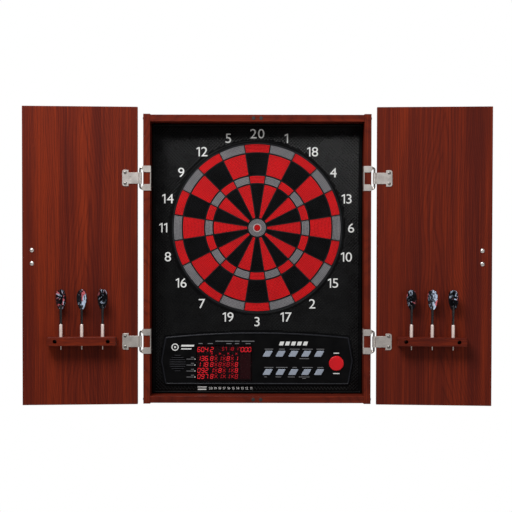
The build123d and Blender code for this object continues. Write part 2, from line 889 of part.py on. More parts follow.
with BuildPart() as front_housing:
    # tray: side walls and front
    with BuildSketch(front(cover_front)):
        Rectangle(2 * board_half_width, 2 * board_half_height)
    extrude(amount=face - cover_front)
    fillet(front_housing.edges().filter_by(Axis.Y), corner)
    with BuildSketch(front(cover_front)):
        Rectangle(2 * (board_half_width - shell), 2 * (board_half_height - shell))
    extrude(amount=face - shell - cover_front, mode=Mode.SUBTRACT)
    # raised rim, sloping inwards
    with BuildSketch(front(face)):
        RectangleRounded(2 * board_half_width, 2 * board_half_height, corner)
        RectangleRounded(
            2 * (board_half_width - rim_width),
            2 * (board_half_height - rim_width),
            corner - 1,
            mode=Mode.SUBTRACT,
        )
    extrude(amount=rim_front - face)
    chamfer(front_housing.faces().sort_by(Axis.Y)[0].edges(), 1.2)
    # console pod with a bead round it, hollow behind
    with BuildSketch(front(face)):
        add(pod_outline())
    extrude(amount=pod_front - face)
    with BuildSketch(front(pod_front)):
        add(pod_outline())
        add(pod_outline(bead_width), mode=Mode.SUBTRACT)
    extrude(amount=bead_front - pod_front)
    with BuildSketch(front(face - shell)):
        add(pod_outline(bead_width))
    extrude(amount=pod_front - face, mode=Mode.SUBTRACT)
    # target opening
    with BuildSketch(target(face)):
        Circle(opening_radius)
    extrude(amount=-shell, mode=Mode.SUBTRACT)
    # display window with a ledge for the lens
    with BuildSketch(front(pod_front)):
        with Locations((window_x, window_z)):
            Rectangle(window_width, window_height)
    extrude(amount=lens_back - pod_front, mode=Mode.SUBTRACT)
    with BuildSketch(front(pod_front)):
        with Locations((window_x, window_z)):
            Rectangle(window_width - 2 * window_lip, window_height - 2 * window_lip)
    extrude(amount=-2 * shell, mode=Mode.SUBTRACT)
    # key and start-button holes
    with BuildSketch(front(pod_front)):
        with Locations(*key_places):
            add(key_outline(key_gap))
        with Locations((start_x, start_z)):
            Circle(start_radius + key_gap)
    extrude(amount=-2 * shell, mode=Mode.SUBTRACT)
    # speaker grille
    with BuildSketch(front(pod_front)):
        for row in range(-3, 4):
            rise = row * grille_pitch
            with Locations((speaker_x, start_z + rise)):
                SlotOverall(2 * (grille_radius**2 - rise**2) ** 0.5, grille_slot)
    extrude(amount=-2 * shell, mode=Mode.SUBTRACT)
    # screw bosses and circuit-board standoffs, drilled
    with BuildSketch(front(cover_front)):
        with Locations(*bosses):
            Circle(boss_radius)
    extrude(amount=face - shell - cover_front + 0.5)
    with BuildSketch(front(pcb_front)):
        with Locations(*standoffs):
            Circle(standoff_radius)
    extrude(amount=pod_front - shell - pcb_front + 0.5)
    with BuildSketch(front(cover_front)):
        with Locations(*bosses):
            Circle(pan_radius + pilot)
    extrude(amount=pan_length, mode=Mode.SUBTRACT)
    with BuildSketch(front(pcb_front)):
        with Locations(*standoffs):
            Circle(pan_radius + pilot)
    extrude(amount=pan_length - 1.5, mode=Mode.SUBTRACT)
    # hole for the adapter jack in the bottom wall
    with Locations(Plane(origin=(jack_x, -jack_d, -board_half_height), z_dir=(0, 0, -1))):
        Hole(jack_nose + 0.3, depth=shell + 1)
save(front_housing.part, "front_housing")

# ---- behind the console ------------------------------------------------------------------------
with BuildPart() as display_lens:
    with BuildSketch(front(lens_back)):
        with Locations((window_x, window_z)):
            Rectangle(window_width - 0.4, window_height - 0.4)
    extrude(amount=lens_thickness)
save(display_lens.part, "display_lens")

led_block = (126.0, 80.0)
with BuildPart() as display_module:
    with BuildSketch(front(pcb_back)):
        with Locations((window_x, window_z)):
            Rectangle(2 * display_posts[0] + 8, 2 * display_posts[1] + 7)
    extrude(amount=pcb_front - pcb_back)
    with BuildSketch(front(pcb_front)):
        with Locations((window_x, window_z)):
            Rectangle(*led_block)
    extrude(amount=lens_back - 0.8 - pcb_front)
    with BuildSketch(front(pcb_back)):
        with Locations(*standoffs[:4]):
            Circle(pan_radius + clear)
    extrude(amount=pcb_front - pcb_back, mode=Mode.SUBTRACT)
save(display_module.part, "display_module")

processor = (22.0, 14.0)
capacitor_radius = 4.0
capacitor_height = 11.0
with BuildPart() as main_board:
    with BuildSketch(front(pcb_back)):
        with Locations((main_x, main_z)):
            Rectangle(2 * board_posts[0] + 8, 2 * board_posts[1] + 8)
    extrude(amount=pcb_front - pcb_back)
    with BuildSketch(front(pcb_back)):
        with Locations(*standoffs[4:]):
            Circle(pan_radius + clear)
    extrude(amount=pcb_front - pcb_back, mode=Mode.SUBTRACT)
    # tail connector, processor and capacitors on the back
    with BuildSketch(front(pcb_back)):
        with Locations((tail_x, tail_end + 6)):
            Rectangle(tail_width + 4, 8)
    extrude(amount=mat_front - pcb_back)
    with BuildSketch(front(pcb_back)):
        with Locations((main_x, main_z)):
            Rectangle(*processor)
    extrude(amount=-2.5)
    with BuildSketch(front(pcb_back)):
        with Locations((main_x + 50, main_z - 12), (main_x + 64, main_z - 12)):
            Circle(capacitor_radius)
    extrude(amount=-capacitor_height)
save(main_board.part, "main_board")

# Rubber mat with a dome under each key.
rubber = 1.2
dome_radius = 4.0
with BuildPart() as keypad_mat:
    with BuildSketch(front(pcb_front)):
        with Locations((key_x + 2 * key_pitch, (key_rows[0] + key_rows[1]) / 2)):
            Rectangle(4 * key_pitch + 28, 66)
        with Locations((start_x, start_z)):
            Circle(start_radius)
    extrude(amount=rubber)
    with BuildSketch(front(pcb_front + rubber)):
        with Locations(*key_places, (start_x, start_z)):
            Circle(dome_radius)
    extrude(amount=1.0, taper=20)
save(keypad_mat.part, "keypad_mat")

# ---- keys and start button ---------------------------------------------------------------------
key_back = 48.2
key_flange_back = 50.7
key_flange = 1.5
for number, place in enumerate(key_places, start=1):
    with BuildPart() as key:
        with BuildSketch(front(key_back)):
            with Locations(place):
                add(key_outline())
        extrude(amount=key_front - key_back)
        fillet(key.faces().sort_by(Axis.Y)[0].edges(), 0.8)
        with BuildSketch(front(key_flange_back)):
            with Locations(place):
                add(key_outline(key_flange))
        extrude(amount=key_flange)
    save(key.part, f"key_{number:02d}")

with BuildPart() as start_button:
    with BuildSketch(front(key_back)):
        with Locations((start_x, start_z)):
            Circle(start_radius)
    extrude(amount=key_front + 1 - key_back)
    fillet(start_button.faces().sort_by(Axis.Y)[0].edges(), 2)
    with BuildSketch(front(key_flange_back)):
        with Locations((start_x, start_z)):
            Circle(start_radius + key_flange)
    extrude(amount=key_flange)
save(start_button.part, "start_button")

# ---- speaker, jack, rear cover and the electronics' screws --------------------------------------
with BuildPart() as speaker:
    with BuildSketch(Plane(origin=(speaker_x, 0, start_z), x_dir=(1, 0, 0), z_dir=(0, 0, 1))):
        with BuildLine():
            Polyline(
                (0, -36),
                (12, -36),
                (12, -42),
                (14, -44),
                (20.5, -50.5),
                (20.5, -52.4),
                (18.5, -52.4),
                (10, -47),
                (4.5, -46.5),
                (0, -48.5),
                close=True,
            )
        make_face()
    revolve(axis=Axis((speaker_x, 0, start_z), (0, -1, 0)))
save(speaker.part, "speaker")

jack_bore = 2.75
with BuildPart() as jack_body:
    with BuildSketch(Plane.XY.offset(-board_half_height + shell)):
        with Locations((jack_x, -jack_d)):
            Rectangle(9, 11)
    extrude(amount=14)
    with BuildSketch(Plane.XY.offset(-board_half_height)):
        with Locations((jack_x, -jack_d)):
            Circle(jack_nose)
    extrude(amount=shell)
    with BuildSketch(Plane.XY.offset(-board_half_height)):
        with Locations((jack_x, -jack_d)):
            Circle(jack_bore)
    extrude(amount=10, mode=Mode.SUBTRACT)
with BuildPart() as jack_pin:
    with BuildSketch(Plane.XY.offset(-board_half_height + 1)):
        with Locations((jack_x, -jack_d)):
            Circle(1.0)
    extrude(amount=9)
save(Compound(children=[jack_body.part, jack_pin.part]), "dc_jack")

rib = 2.0
cover_rings = (195.0, 130.0, 65.0)  # mid-radii of the round walls
cover_spokes = 8
post_radius = 6.0
posts = [(sx * post_x, sz * post_z) for sx in (-1, 1) for sz in (-1, 1)]
with BuildPart() as rear_cover:
    with BuildSketch(front(cover_back)):
        RectangleRounded(2 * board_half_width, 2 * board_half_height, corner)
    extrude(amount=cover_front - cover_back)
    # round walls and ribs that carry the backing plate
    with BuildSketch(target(cover_front)):
        for middle in cover_rings:
            with BuildSketch(mode=Mode.PRIVATE) as wall:
                Circle(middle + rib / 2)
                Circle(middle - rib / 2, mode=Mode.SUBTRACT)
            add(wall.sketch)
        with PolarLocations(cover_rings[1], cover_spokes, start_angle=180 / cover_spokes):
            Rectangle(cover_rings[0] - cover_rings[2], rib)
    extrude(amount=plate_back - cover_front)
    # posts that stand on the cabinet's back panel
    with BuildSketch(front(panel_thickness)):
        with Locations(*posts):
            Circle(post_radius)
    extrude(amount=cover_back - panel_thickness)
    with BuildSketch(front(panel_thickness)):
        with Locations(*posts):
            Circle(mount_screw_radius + pilot)
    extrude(amount=9, mode=Mode.SUBTRACT)
    with BuildSketch(front(cover_back)):
        with Locations(*bosses):
            Circle(pan_radius + clear)
    extrude(amount=cover_front - cover_back, mode=Mode.SUBTRACT)
save(rear_cover.part, "rear_cover")

# Countersunk screw that holds the board to the back panel, upright, its flat head at the origin.
with BuildPart() as mount_screw:
    with BuildSketch(Plane.XZ):
        with BuildLine():
            Polyline(
                (0, 0),
                (mount_head_radius, 0),
                (mount_screw_radius, mount_screw_radius - mount_head_radius),
                (mount_screw_radius, -9),
                (screw_point, -11),
                (0, -11),
                close=True,
            )
        make_face()
    revolve(axis=Axis.Z)
    with BuildSketch(Plane.XY):
        Rectangle(mount_head_radius, 0.8)
        Rectangle(0.8, mount_head_radius)
    extrude(amount=-1, mode=Mode.SUBTRACT)


def from_behind(places, distance):
    """Locations on the back of something, this far in front of the wall, facing the wall."""
    return [Location(Plane(origin=(x, -distance, z), z_dir=(0, 1, 0))) for x, z in places]


with BuildPart() as board_screws:
    with Locations(*from_behind(bosses, cover_back), *from_behind(standoffs, pcb_back)):
        add(pan_screw)
    with Locations(*from_behind(posts, 0)):
        add(mount_screw.part)
save(board_screws.part, "board_screws")
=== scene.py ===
"""The looks of a wall-hung electronic dartboard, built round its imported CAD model. Metres, +Z up.

The viewer stands at -Y. Pieces that lie on the board's front are drawn on a front-view plane:
u to the right and v up, both in millimetres from the frame's origin, and a height in front of the wall.
"""

import bpy
import math
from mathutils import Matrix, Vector
from mathutils.geometry import delaunay_2d_cdt


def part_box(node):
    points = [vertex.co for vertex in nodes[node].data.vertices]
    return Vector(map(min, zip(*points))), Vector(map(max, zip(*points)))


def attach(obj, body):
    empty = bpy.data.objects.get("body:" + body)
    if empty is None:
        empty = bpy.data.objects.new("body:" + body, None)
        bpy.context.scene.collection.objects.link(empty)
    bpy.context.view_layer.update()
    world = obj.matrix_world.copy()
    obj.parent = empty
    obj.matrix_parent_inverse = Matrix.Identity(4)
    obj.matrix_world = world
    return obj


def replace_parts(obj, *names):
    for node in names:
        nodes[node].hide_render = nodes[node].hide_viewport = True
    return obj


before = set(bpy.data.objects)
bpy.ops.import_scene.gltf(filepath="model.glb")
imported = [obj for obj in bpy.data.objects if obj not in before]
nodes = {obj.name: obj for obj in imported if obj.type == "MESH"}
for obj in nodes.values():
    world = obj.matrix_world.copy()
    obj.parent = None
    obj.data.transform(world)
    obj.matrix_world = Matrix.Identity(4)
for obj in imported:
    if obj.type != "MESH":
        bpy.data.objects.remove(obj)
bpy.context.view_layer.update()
MM = 0.001


# ---- where things are, from the frame ----------------------------------------------------------
def extent(node):
    """A node's box in millimetres: ((x0, x1), (y0, y1), (z0, z1))."""
    low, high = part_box(node)
    return tuple((a / MM, b / MM) for a, b in zip(low, high))


housing_box = extent("front_housing")
lens_box = extent("display_lens")
bull_box = extent("inner_bull")
button_box = extent("start_button")
double_box = extent("double_segments_red")
bull_v = (bull_box[2][0] + bull_box[2][1]) / 2
segment_front = -bull_box[1][0]
housing_front = -housing_box[1][0]  # top of the bead round the console
face = housing_front - 5.2  # the flat front round the target
pod = housing_front - 1.2  # the console's face
flange = 1.0  # the CAD segments' flange, behind the web


# ---- meshes ------------------------------------------------------------------------------------
def to_row(u, v, height):
    """A point of the front view, this far in front of the wall, in the row frame."""
    return (u * MM, -height * MM, v * MM)


def new_piece(name, points, faces, materials, smooth=False, face_slots=None):
    """A mesh object from points in metres. materials is one material or a list."""
    mesh = bpy.data.meshes.new(name)
    mesh.from_pydata(points, [], faces)
    for material in materials if isinstance(materials, (list, tuple)) else [materials]:
        mesh.materials.append(material)
    if face_slots:
        mesh.polygons.foreach_set("material_index", face_slots)
    mesh.polygons.foreach_set("use_smooth", [smooth] * len(mesh.polygons))
    mesh.validate()
    mesh.update()
    piece = bpy.data.objects.new(name, mesh)
    bpy.context.scene.collection.objects.link(piece)
    return piece


class Shape:
    """Points and faces gathered into one mesh."""

    def __init__(self):
        self.points = []
        self.faces = []
        self.slots = []

    def add(self, points, faces, slot=0):
        first = len(self.points)
        self.points += points
        self.faces += [tuple(first + i for i in face) for face in faces]
        self.slots += [slot] * len(faces)

    def prism(self, outline, low, high, slot=0, bevel=0.0):
        """A front-view outline (anticlockwise) between two heights, its front edge bevelled."""
        n = len(outline)
        rings = [(outline, low), (outline, high - bevel)]
        if bevel:
            rings.append((inset(outline, bevel), high))
        points = [to_row(u, v, h) for ring, h in rings for u, v in ring]
        faces = [tuple(range(n))[::-1]]
        for r in range(len(rings) - 1):
            for i in range(n):
                here, on = r * n + i, r * n + (i + 1) % n
                faces.append((here, on, on + n, here + n))
        faces.append(tuple(range((len(rings) - 1) * n, len(rings) * n)))
        self.add(points, faces, slot)

    def piece(self, name, materials, body, finish, smooth=False):
        """The gathered mesh as a piece of this body. finish is not used."""
        piece = new_piece(name, self.points, self.faces, materials, smooth, self.slots)
        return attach(piece, body)


def inset(outline, amount):
    """A closed outline (anticlockwise) moved inwards, or outwards where amount is below 0."""
    moved = []
    n = len(outline)
    for i in range(n):
        before, here, after = (Vector(outline[(i + k) % n]) for k in (-1, 0, 1))
        first = (here - before).normalized()
        second = (after - here).normalized()
        normal = Vector((-first.y - second.y, first.x + second.x))
        if normal.length < 1e-9:
            normal = Vector((-first.y, first.x))
        normal.normalize()
        lean = max(0.35, normal.dot(Vector((-first.y, first.x))))
        moved.append(tuple(here + normal * (amount / lean)))
    return moved


def box_outline(u0, u1, v0, v1, lean=0.0):
    """A rectangle, its top moved right by lean."""
    return [(u0, v0), (u1, v0), (u1 + lean, v1), (u0 + lean, v1)]


def circle(u, v, radius, count):
    """This many points round a centre, anticlockwise."""
    angles = [2 * math.pi * i / count for i in range(count)]
    return [(u + radius * math.cos(a), v + radius * math.sin(a)) for a in angles]


# ---- materials ---------------------------------------------------------------------------------
def linear(red, green, blue):
    """An sRGB colour, 0 to 255, as the shader's linear RGBA."""
    steps = [c / 255 for c in (red, green, blue)]
    return (*[c / 12.92 if c <= 0.04045 else ((c + 0.055) / 1.055) ** 2.4 for c in steps], 1.0)


class Look:
    """A Principled material and short calls for the nodes that feed it."""

    def __init__(self, name, colour, roughness=0.5, **sockets):
        self.material = bpy.data.materials.new(name)
        self.material.use_nodes = True
        self.tree = self.material.node_tree
        self.shader = self.tree.nodes["Principled BSDF"]
        self.shader.inputs["Base Color"].default_value = colour
        self.shader.inputs["Roughness"].default_value = roughness
        for socket, value in sockets.items():
            self.shader.inputs[socket.replace("_", " ")].default_value = value
        self.material.diffuse_color = colour

    def fill(self, socket, value):
        """Links a node's output to a socket, or sets the socket's value."""
        if isinstance(value, bpy.types.NodeSocket):
            self.tree.links.new(value, socket)
        else:
            socket.default_value = value

    def node(self, kind, inputs=None):
        """A new node, its inputs filled by name."""
        node = self.tree.nodes.new(kind)
        for key, value in (inputs or {}).items():
            self.fill(node.inputs[key], value)
        return node

    def feed(self, socket, value):
        """Links a node's output to the shader."""
        self.tree.links.new(value, self.shader.inputs[socket])

    def place(self, scale=(1, 1, 1), offset=(0, 0, 0)):
        """The row frame's coordinates, scaled."""
        coordinates = self.node("ShaderNodeTexCoord").outputs["Object"]
        inputs = {"Vector": coordinates, "Scale": scale, "Location": offset}
        return self.node("ShaderNodeMapping", inputs).outputs["Vector"]

    def noise(self, vector, scale, detail=3.0, roughness=0.5, distortion=0.0):
        """Soft noise, 0 to 1."""
        inputs = {
            "Vector": vector,
            "Scale": scale,
            "Detail": detail,
            "Roughness": roughness,
            "Distortion": distortion,
        }
        return self.node("ShaderNodeTexNoise", inputs).outputs["Fac"]

    def maths(self, operation, *values):
        """The result of an operation on values or other nodes' outputs."""
        node = self.node("ShaderNodeMath")
        node.operation = operation
        for socket, value in zip(node.inputs, values):
            self.fill(socket, value)
        return node.outputs[0]

    def ramp(self, factor, *stops):
        """Colours or greys at positions from 0 to 1."""
        node = self.node("ShaderNodeValToRGB", {"Fac": factor})
        elements = node.color_ramp.elements
        while len(elements) < len(stops):
            elements.new(0.5)
        for element, (position, value) in zip(elements, stops):
            element.position = position
            element.color = value if isinstance(value, tuple) else (value, value, value, 1)
        return node.outputs["Color"]

    def mix(self, factor, a, b):
        """Colour a where factor is 0, b where it is 1."""
        node = self.node("ShaderNodeMix")
        node.data_type = "RGBA"
        # the mix node's own numbers for a colour's factor, A, B and result
        for socket, value in ((0, factor), (6, a), (7, b)):
            self.fill(node.inputs[socket], value)
        return node.outputs[2]

    def bump(self, height, strength, distance):
        """Relief on the surface, this many metres high."""
        inputs = {"Height": height, "Strength": strength, "Distance": distance}
        self.feed("Normal", self.node("ShaderNodeBump", inputs).outputs["Normal"])


def cherry(name, along, across, figure):
    """Dark cherry laminate: long streaks along one row axis, with cathedral arches round figure,
    the place across the board where they stand. along and across are 0, 1 or 2 for x, y or z."""
    look = Look(name, linear(92, 34, 21), 0.38, Specular_IOR_Level=0.1)

    def stretched(fine, long):
        return tuple(long if axis == along else fine for axis in range(3))

    parts = look.node("ShaderNodeSeparateXYZ", {"Vector": look.place()}).outputs
    sway = look.noise(look.place(stretched(3.0, 2.4)), 1.0, 2.0)
    side = look.maths("SUBTRACT", parts[across], figure)
    side = look.maths("ADD", side, look.maths("MULTIPLY", look.maths("SUBTRACT", sway, 0.5), 0.11))
    steep = look.maths("MULTIPLY", look.maths("ABSOLUTE", side), 2.6)
    arch = look.maths("ADD", look.maths("MULTIPLY", look.maths("MULTIPLY", side, side), 46.0), steep)
    arch = look.maths("ADD", arch, look.maths("MULTIPLY", parts[along], 0.42))
    wander = look.noise(look.place(stretched(14, 1.5)), 1.0, 3.0)
    arch = look.maths("ADD", arch, look.maths("MULTIPLY", wander, 0.22))
    wave = look.maths("SINE", look.maths("MULTIPLY", arch, 150.0))
    rings = look.maths("MULTIPLY_ADD", wave, 0.5, 0.5)
    broad = look.noise(look.place(stretched(24, 0.9)), 1.0, 4.0, 0.55, 0.3)
    streak = look.noise(look.place(stretched(300, 3.2)), 1.0, 4.0, 0.6)
    fine = look.noise(look.place(stretched(420, 7)), 1.0, 4.0, 0.6)
    pores = look.noise(look.place(stretched(1400, 30)), 1.0, 2.0, 0.5)
    colour = look.ramp(
        broad,
        (0.34, linear(78, 25, 17)),
        (0.46, linear(92, 30, 18)),
        (0.56, linear(100, 33, 18)),
        (0.68, linear(118, 40, 19)),
    )
    colour = look.mix(look.ramp(rings, (0.02, 0.42), (0.2, 0.0)), colour, linear(62, 19, 14))
    colour = look.mix(look.ramp(rings, (0.74, 0.0), (1.0, 0.14)), colour, linear(130, 45, 20))
    colour = look.mix(look.ramp(streak, (0.36, 0.45), (0.50, 0.0)), colour, linear(70, 22, 18))
    colour = look.mix(look.ramp(streak, (0.54, 0.0), (0.68, 0.42)), colour, linear(134, 47, 21))
    colour = look.mix(look.ramp(fine, (0.38, 0.38), (0.52, 0.0)), colour, linear(64, 21, 15))
    colour = look.mix(look.ramp(pores, (0.30, 0.35), (0.42, 0.0)), colour, linear(48, 16, 13))
    look.feed("Base Color", colour)
    look.feed("Roughness", look.ramp(fine, (0.3, 0.46), (0.7, 0.34)))
    look.bump(pores, 0.12, 0.0002)
    return look.material


def speckled(name, colour, spots, roughness, grain=2600.0, strength=0.15, **sockets):
    """Moulded plastic: a fine grain and a little unevenness of colour and gloss."""
    look = Look(name, colour, roughness, **sockets)
    place = look.place()
    cloud = look.noise(place, 35.0, 3.0)
    grains = look.noise(place, grain, 2.0)
    look.feed("Base Color", look.mix(look.ramp(cloud, (0.35, 0.0), (0.7, 1.0)), colour, spots))
    look.feed("Roughness", look.ramp(cloud, (0.3, roughness - 0.05), (0.7, roughness + 0.06)))
    look.bump(grains, strength, 0.00012)
    return look.material


def metal(name, colour, roughness, wear=0.1):
    """Plated or bare metal with faint scratches and smudges."""
    look = Look(name, colour, roughness, Metallic=1.0)
    scratches = look.noise(look.place((60, 60, 60)), 12.0, 4.0, 0.65)
    smudge = look.noise(look.place(), 60.0, 3.0)
    look.feed("Roughness", look.ramp(smudge, (0.3, roughness), (0.75, roughness + wear)))
    dull = tuple(c * 0.82 for c in colour[:3]) + (1.0,)
    look.feed("Base Color", look.mix(look.ramp(scratches, (0.4, 0.0), (0.65, 1.0)), colour, dull))
    look.bump(scratches, 0.08, 0.0001)
    return look.material


def printed(name, colour):
    """Screen-printed ink, very slightly mottled."""
    look = Look(name, colour, 0.55, Specular_IOR_Level=0.3)
    thin = tuple(c * 0.86 for c in colour[:3]) + (1.0,)
    mottle = look.ramp(look.noise(look.place(), 900, 3), (0.4, 0.0), (0.6, 1.0))
    look.feed("Base Color", look.mix(mottle, colour, thin))
    return look.material


def led(name, colour, strength):
    """A lit display segment."""
    look = Look(name, colour, 0.4)
    look.shader.inputs["Emission Color"].default_value = colour
    look.shader.inputs["Emission Strength"].default_value = strength
    return look.material


def marbled(name, seed, pale=0.0):
    """A dart flight's printed film: pink and pale blue clouds on black. pale adds more of them."""
    look = Look(name, linear(14, 13, 16), 0.3, Specular_IOR_Level=0.3)
    place = look.place((1, 1, 0.8), (seed * 0.37, seed * 0.11, seed * 0.23))
    cloud = look.noise(place, 105.0, 4.0, 0.6, 1.2)
    tint = look.noise(place, 42.0, 1.0)
    pink = look.ramp(tint, (0.55, 0.0), (0.58, 1.0))
    colour = look.mix(pink, linear(186, 200, 222), linear(206, 104, 112))
    share = look.ramp(cloud, (0.56 - pale, 0.0), (0.62 - pale, 0.95))
    look.feed("Base Color", look.mix(share, linear(12, 11, 14), colour))
    return look.material


door_wood_left = cherry("cherry_door_left", 2, 0, -0.405)
door_wood_right = cherry("cherry_door_right", 2, 0, 0.43)
stile_wood = cherry("cherry_stiles", 2, 1, -0.2)
rail_wood = cherry("cherry_rails", 0, 1, -0.14)
holder_wood = cherry("cherry_holders", 0, 2, -0.3)
hardboard = speckled("hardboard", linear(96, 72, 48), linear(84, 62, 42), 0.8, 1400, 0.5)
nickel = metal("nickel", linear(228, 220, 214), 0.42, wear=0.12)
polished = metal("nickel_polished", linear(168, 160, 154), 0.14, wear=0.05)
# two copies of one screw metal: screw_steel's base is darkened to keep the door screws' heads dim, a
# painted shade, and the handle screws' copy is lightened, a painted highlight on their domed heads
steel = metal("screw_steel", linear(150, 146, 142), 0.4)
screw_steel_painted_highlight = metal("screw_steel_painted_highlight", linear(238, 234, 230), 0.35)
ferrite = speckled("ferrite", linear(40, 34, 34), linear(30, 26, 26), 0.5)
housing_black = speckled(
    "housing_black", linear(5, 5, 6), linear(8, 8, 9), 0.42, Specular_IOR_Level=0.1
)
mesh_black = speckled("mesh_black", linear(5, 5, 6), linear(7, 7, 8), 0.28, Specular_IOR_Level=0.13)
# the bead is the housing's black plastic; its lighter bluish grey is a painted highlight along the
# rounded bead
bead_painted_highlight = speckled(
    "bead_painted_highlight", linear(20, 21, 26), linear(25, 26, 32), 0.42, Specular_IOR_Level=0.2
)
rib_black = speckled("rib_black", linear(34, 34, 37), linear(42, 42, 46), 0.5, Specular_IOR_Level=0.2)
web_grey = speckled("web_grey", linear(22, 23, 25), linear(32, 33, 36), 0.4, Specular_IOR_Level=0.2)
# pale pinkish colour for the grey web between the bulls: a painted highlight
web_ring_painted_highlight = speckled("web_ring_painted_highlight", linear(196, 172, 172), linear(176, 150, 150), 0.5, 1500)
segment_black = speckled(
    "segment_black", linear(11, 11, 12), linear(15, 15, 17), 0.4, Specular_IOR_Level=0.1
)
segment_red = speckled(
    "segment_red", linear(204, 26, 30), linear(190, 23, 28), 0.42, Specular_IOR_Level=0.15
)
segment_grey = speckled(
    "segment_grey", linear(121, 119, 122), linear(110, 109, 112), 0.45, Specular_IOR_Level=0.2
)
# near-black floors for the blind holes: painted shade where a deep hole would be dark
hole_floor_painted_shade = speckled("hole_floor_painted_shade", linear(10, 10, 11), linear(14, 14, 15), 0.8, Specular_IOR_Level=0.1)
key_grey = speckled("key_grey", linear(150, 158, 172), linear(136, 144, 158), 0.4)
button_red = speckled(
    "button_red", linear(208, 26, 34), linear(192, 22, 30), 0.3, strength=0.05, Specular_IOR_Level=0.3
)
ink = printed("ink_light", linear(222, 222, 220))
ink_dim = printed("ink_dim", linear(112, 112, 114))
circuit = speckled("circuit_board", linear(24, 62, 38), linear(30, 74, 44), 0.4)
rubber = speckled("rubber", linear(32, 32, 34), linear(40, 40, 42), 0.75)
barrel_metal = speckled(
    "barrel_metal", linear(250, 232, 224), linear(232, 212, 204), 0.4, Metallic=0.35
)
tip_plastic = speckled("tip_plastic", linear(236, 228, 220), linear(222, 214, 206), 0.4)
shaft_plastic = speckled("shaft_plastic", linear(20, 20, 22), linear(28, 28, 30), 0.3)
lit = led("led_lit", linear(255, 40, 52), 1.3)
half_lit = led("led_half_lit", linear(226, 28, 44), 0.9)
unlit = led("led_unlit", linear(46, 8, 14), 0.15)

lens_look = Look("lens_red", linear(24, 4, 7), 0.12, Specular_IOR_Level=0.3, Alpha=0.34)
lens_look.bump(lens_look.noise(lens_look.place(), 40.0, 2.0), 0.02, 0.0005)
lens_red = lens_look.material

node_materials = {
    "side_left": stile_wood,
    "side_right": stile_wood,
    "top_rail": rail_wood,
    "bottom_rail": rail_wood,
    "door_left": door_wood_left,
    "door_right": door_wood_right,
    "dart_holder_left": holder_wood,
    "dart_holder_right": holder_wood,
    "back_panel": hardboard,
    "catch_magnets": ferrite,
    "front_housing": housing_black,
    "rear_cover": housing_black,
    "dc_jack": housing_black,
    "speaker": housing_black,
    "backing_plate": housing_black,
    "spider": web_grey,
    "contact_mat": rubber,
    "keypad_mat": rubber,
    "display_module": circuit,
    "main_board": circuit,
    "display_lens": lens_red,
    "start_button": button_red,
}
for name in ("hinge_brackets", "hinge_leaves_left", "hinge_leaves_right"):
    node_materials[name] = nickel
for name in ("hinge_pins", "handle_left", "handle_right"):
    node_materials[name] = polished
for name in ("cabinet_screws", "board_screws"):
    node_materials[name] = steel
for side in ("left", "right"):
    node_materials[f"door_screws_{side}"] = steel
    node_materials[f"handle_screws_{side}"] = screw_steel_painted_highlight
for number in range(1, 11):
    node_materials[f"key_{number:02d}"] = key_grey
for name, material in node_materials.items():
    slots = nodes[name].data.materials
    slots.clear()
    slots.append(material)


# ---- target: perforated segments ---------------------------------------------------------------
WEDGES = 20
SPOKE_GAP = 2.4  # web and clearance between two segments
SEGMENT_DEPTH = 8.0
HOLE = 1.0  # radius of a hole for the darts' tips
PITCH = 3.3
HOLE_DEPTH = 3.0
EDGE = 0.45  # bevel round a segment


def wedge_outline(inner, outer, gap, arc_points=10):
    """A ring segment centred on the u axis, anticlockwise."""
    half = math.pi / WEDGES
    far = half - math.asin(gap / 2 / outer)
    near = half - math.asin(gap / 2 / inner)
    points = []
    for i in range(arc_points + 1):
        angle = -far + 2 * far * i / arc_points
        points.append((outer * math.cos(angle), outer * math.sin(angle)))
    for i in range(arc_points + 1):
        angle = near - 2 * near * i / arc_points
        points.append((inner * math.cos(angle), inner * math.sin(angle)))
    return points


def wedge_holes(inner, outer, gap):
    """Hole centres in rows that follow the ring, clear of the segment's edges."""
    margin = HOLE + 0.75
    rows = max(1, int((outer - inner - 2 * margin) / PITCH) + 1)
    first = (inner + outer) / 2 - (rows - 1) * PITCH / 2
    centres = []
    for row in range(rows):
        radius = first + row * PITCH
        reach = math.pi / WEDGES - math.asin(min(1, (gap / 2 + margin) / radius))
        count = int(2 * reach * radius / PITCH) + 1 if reach > 0 else 0
        for i in range(count):
            angle = (i - (count - 1) / 2) * PITCH / radius
            centres.append((radius * math.cos(angle), radius * math.sin(angle)))
    return centres


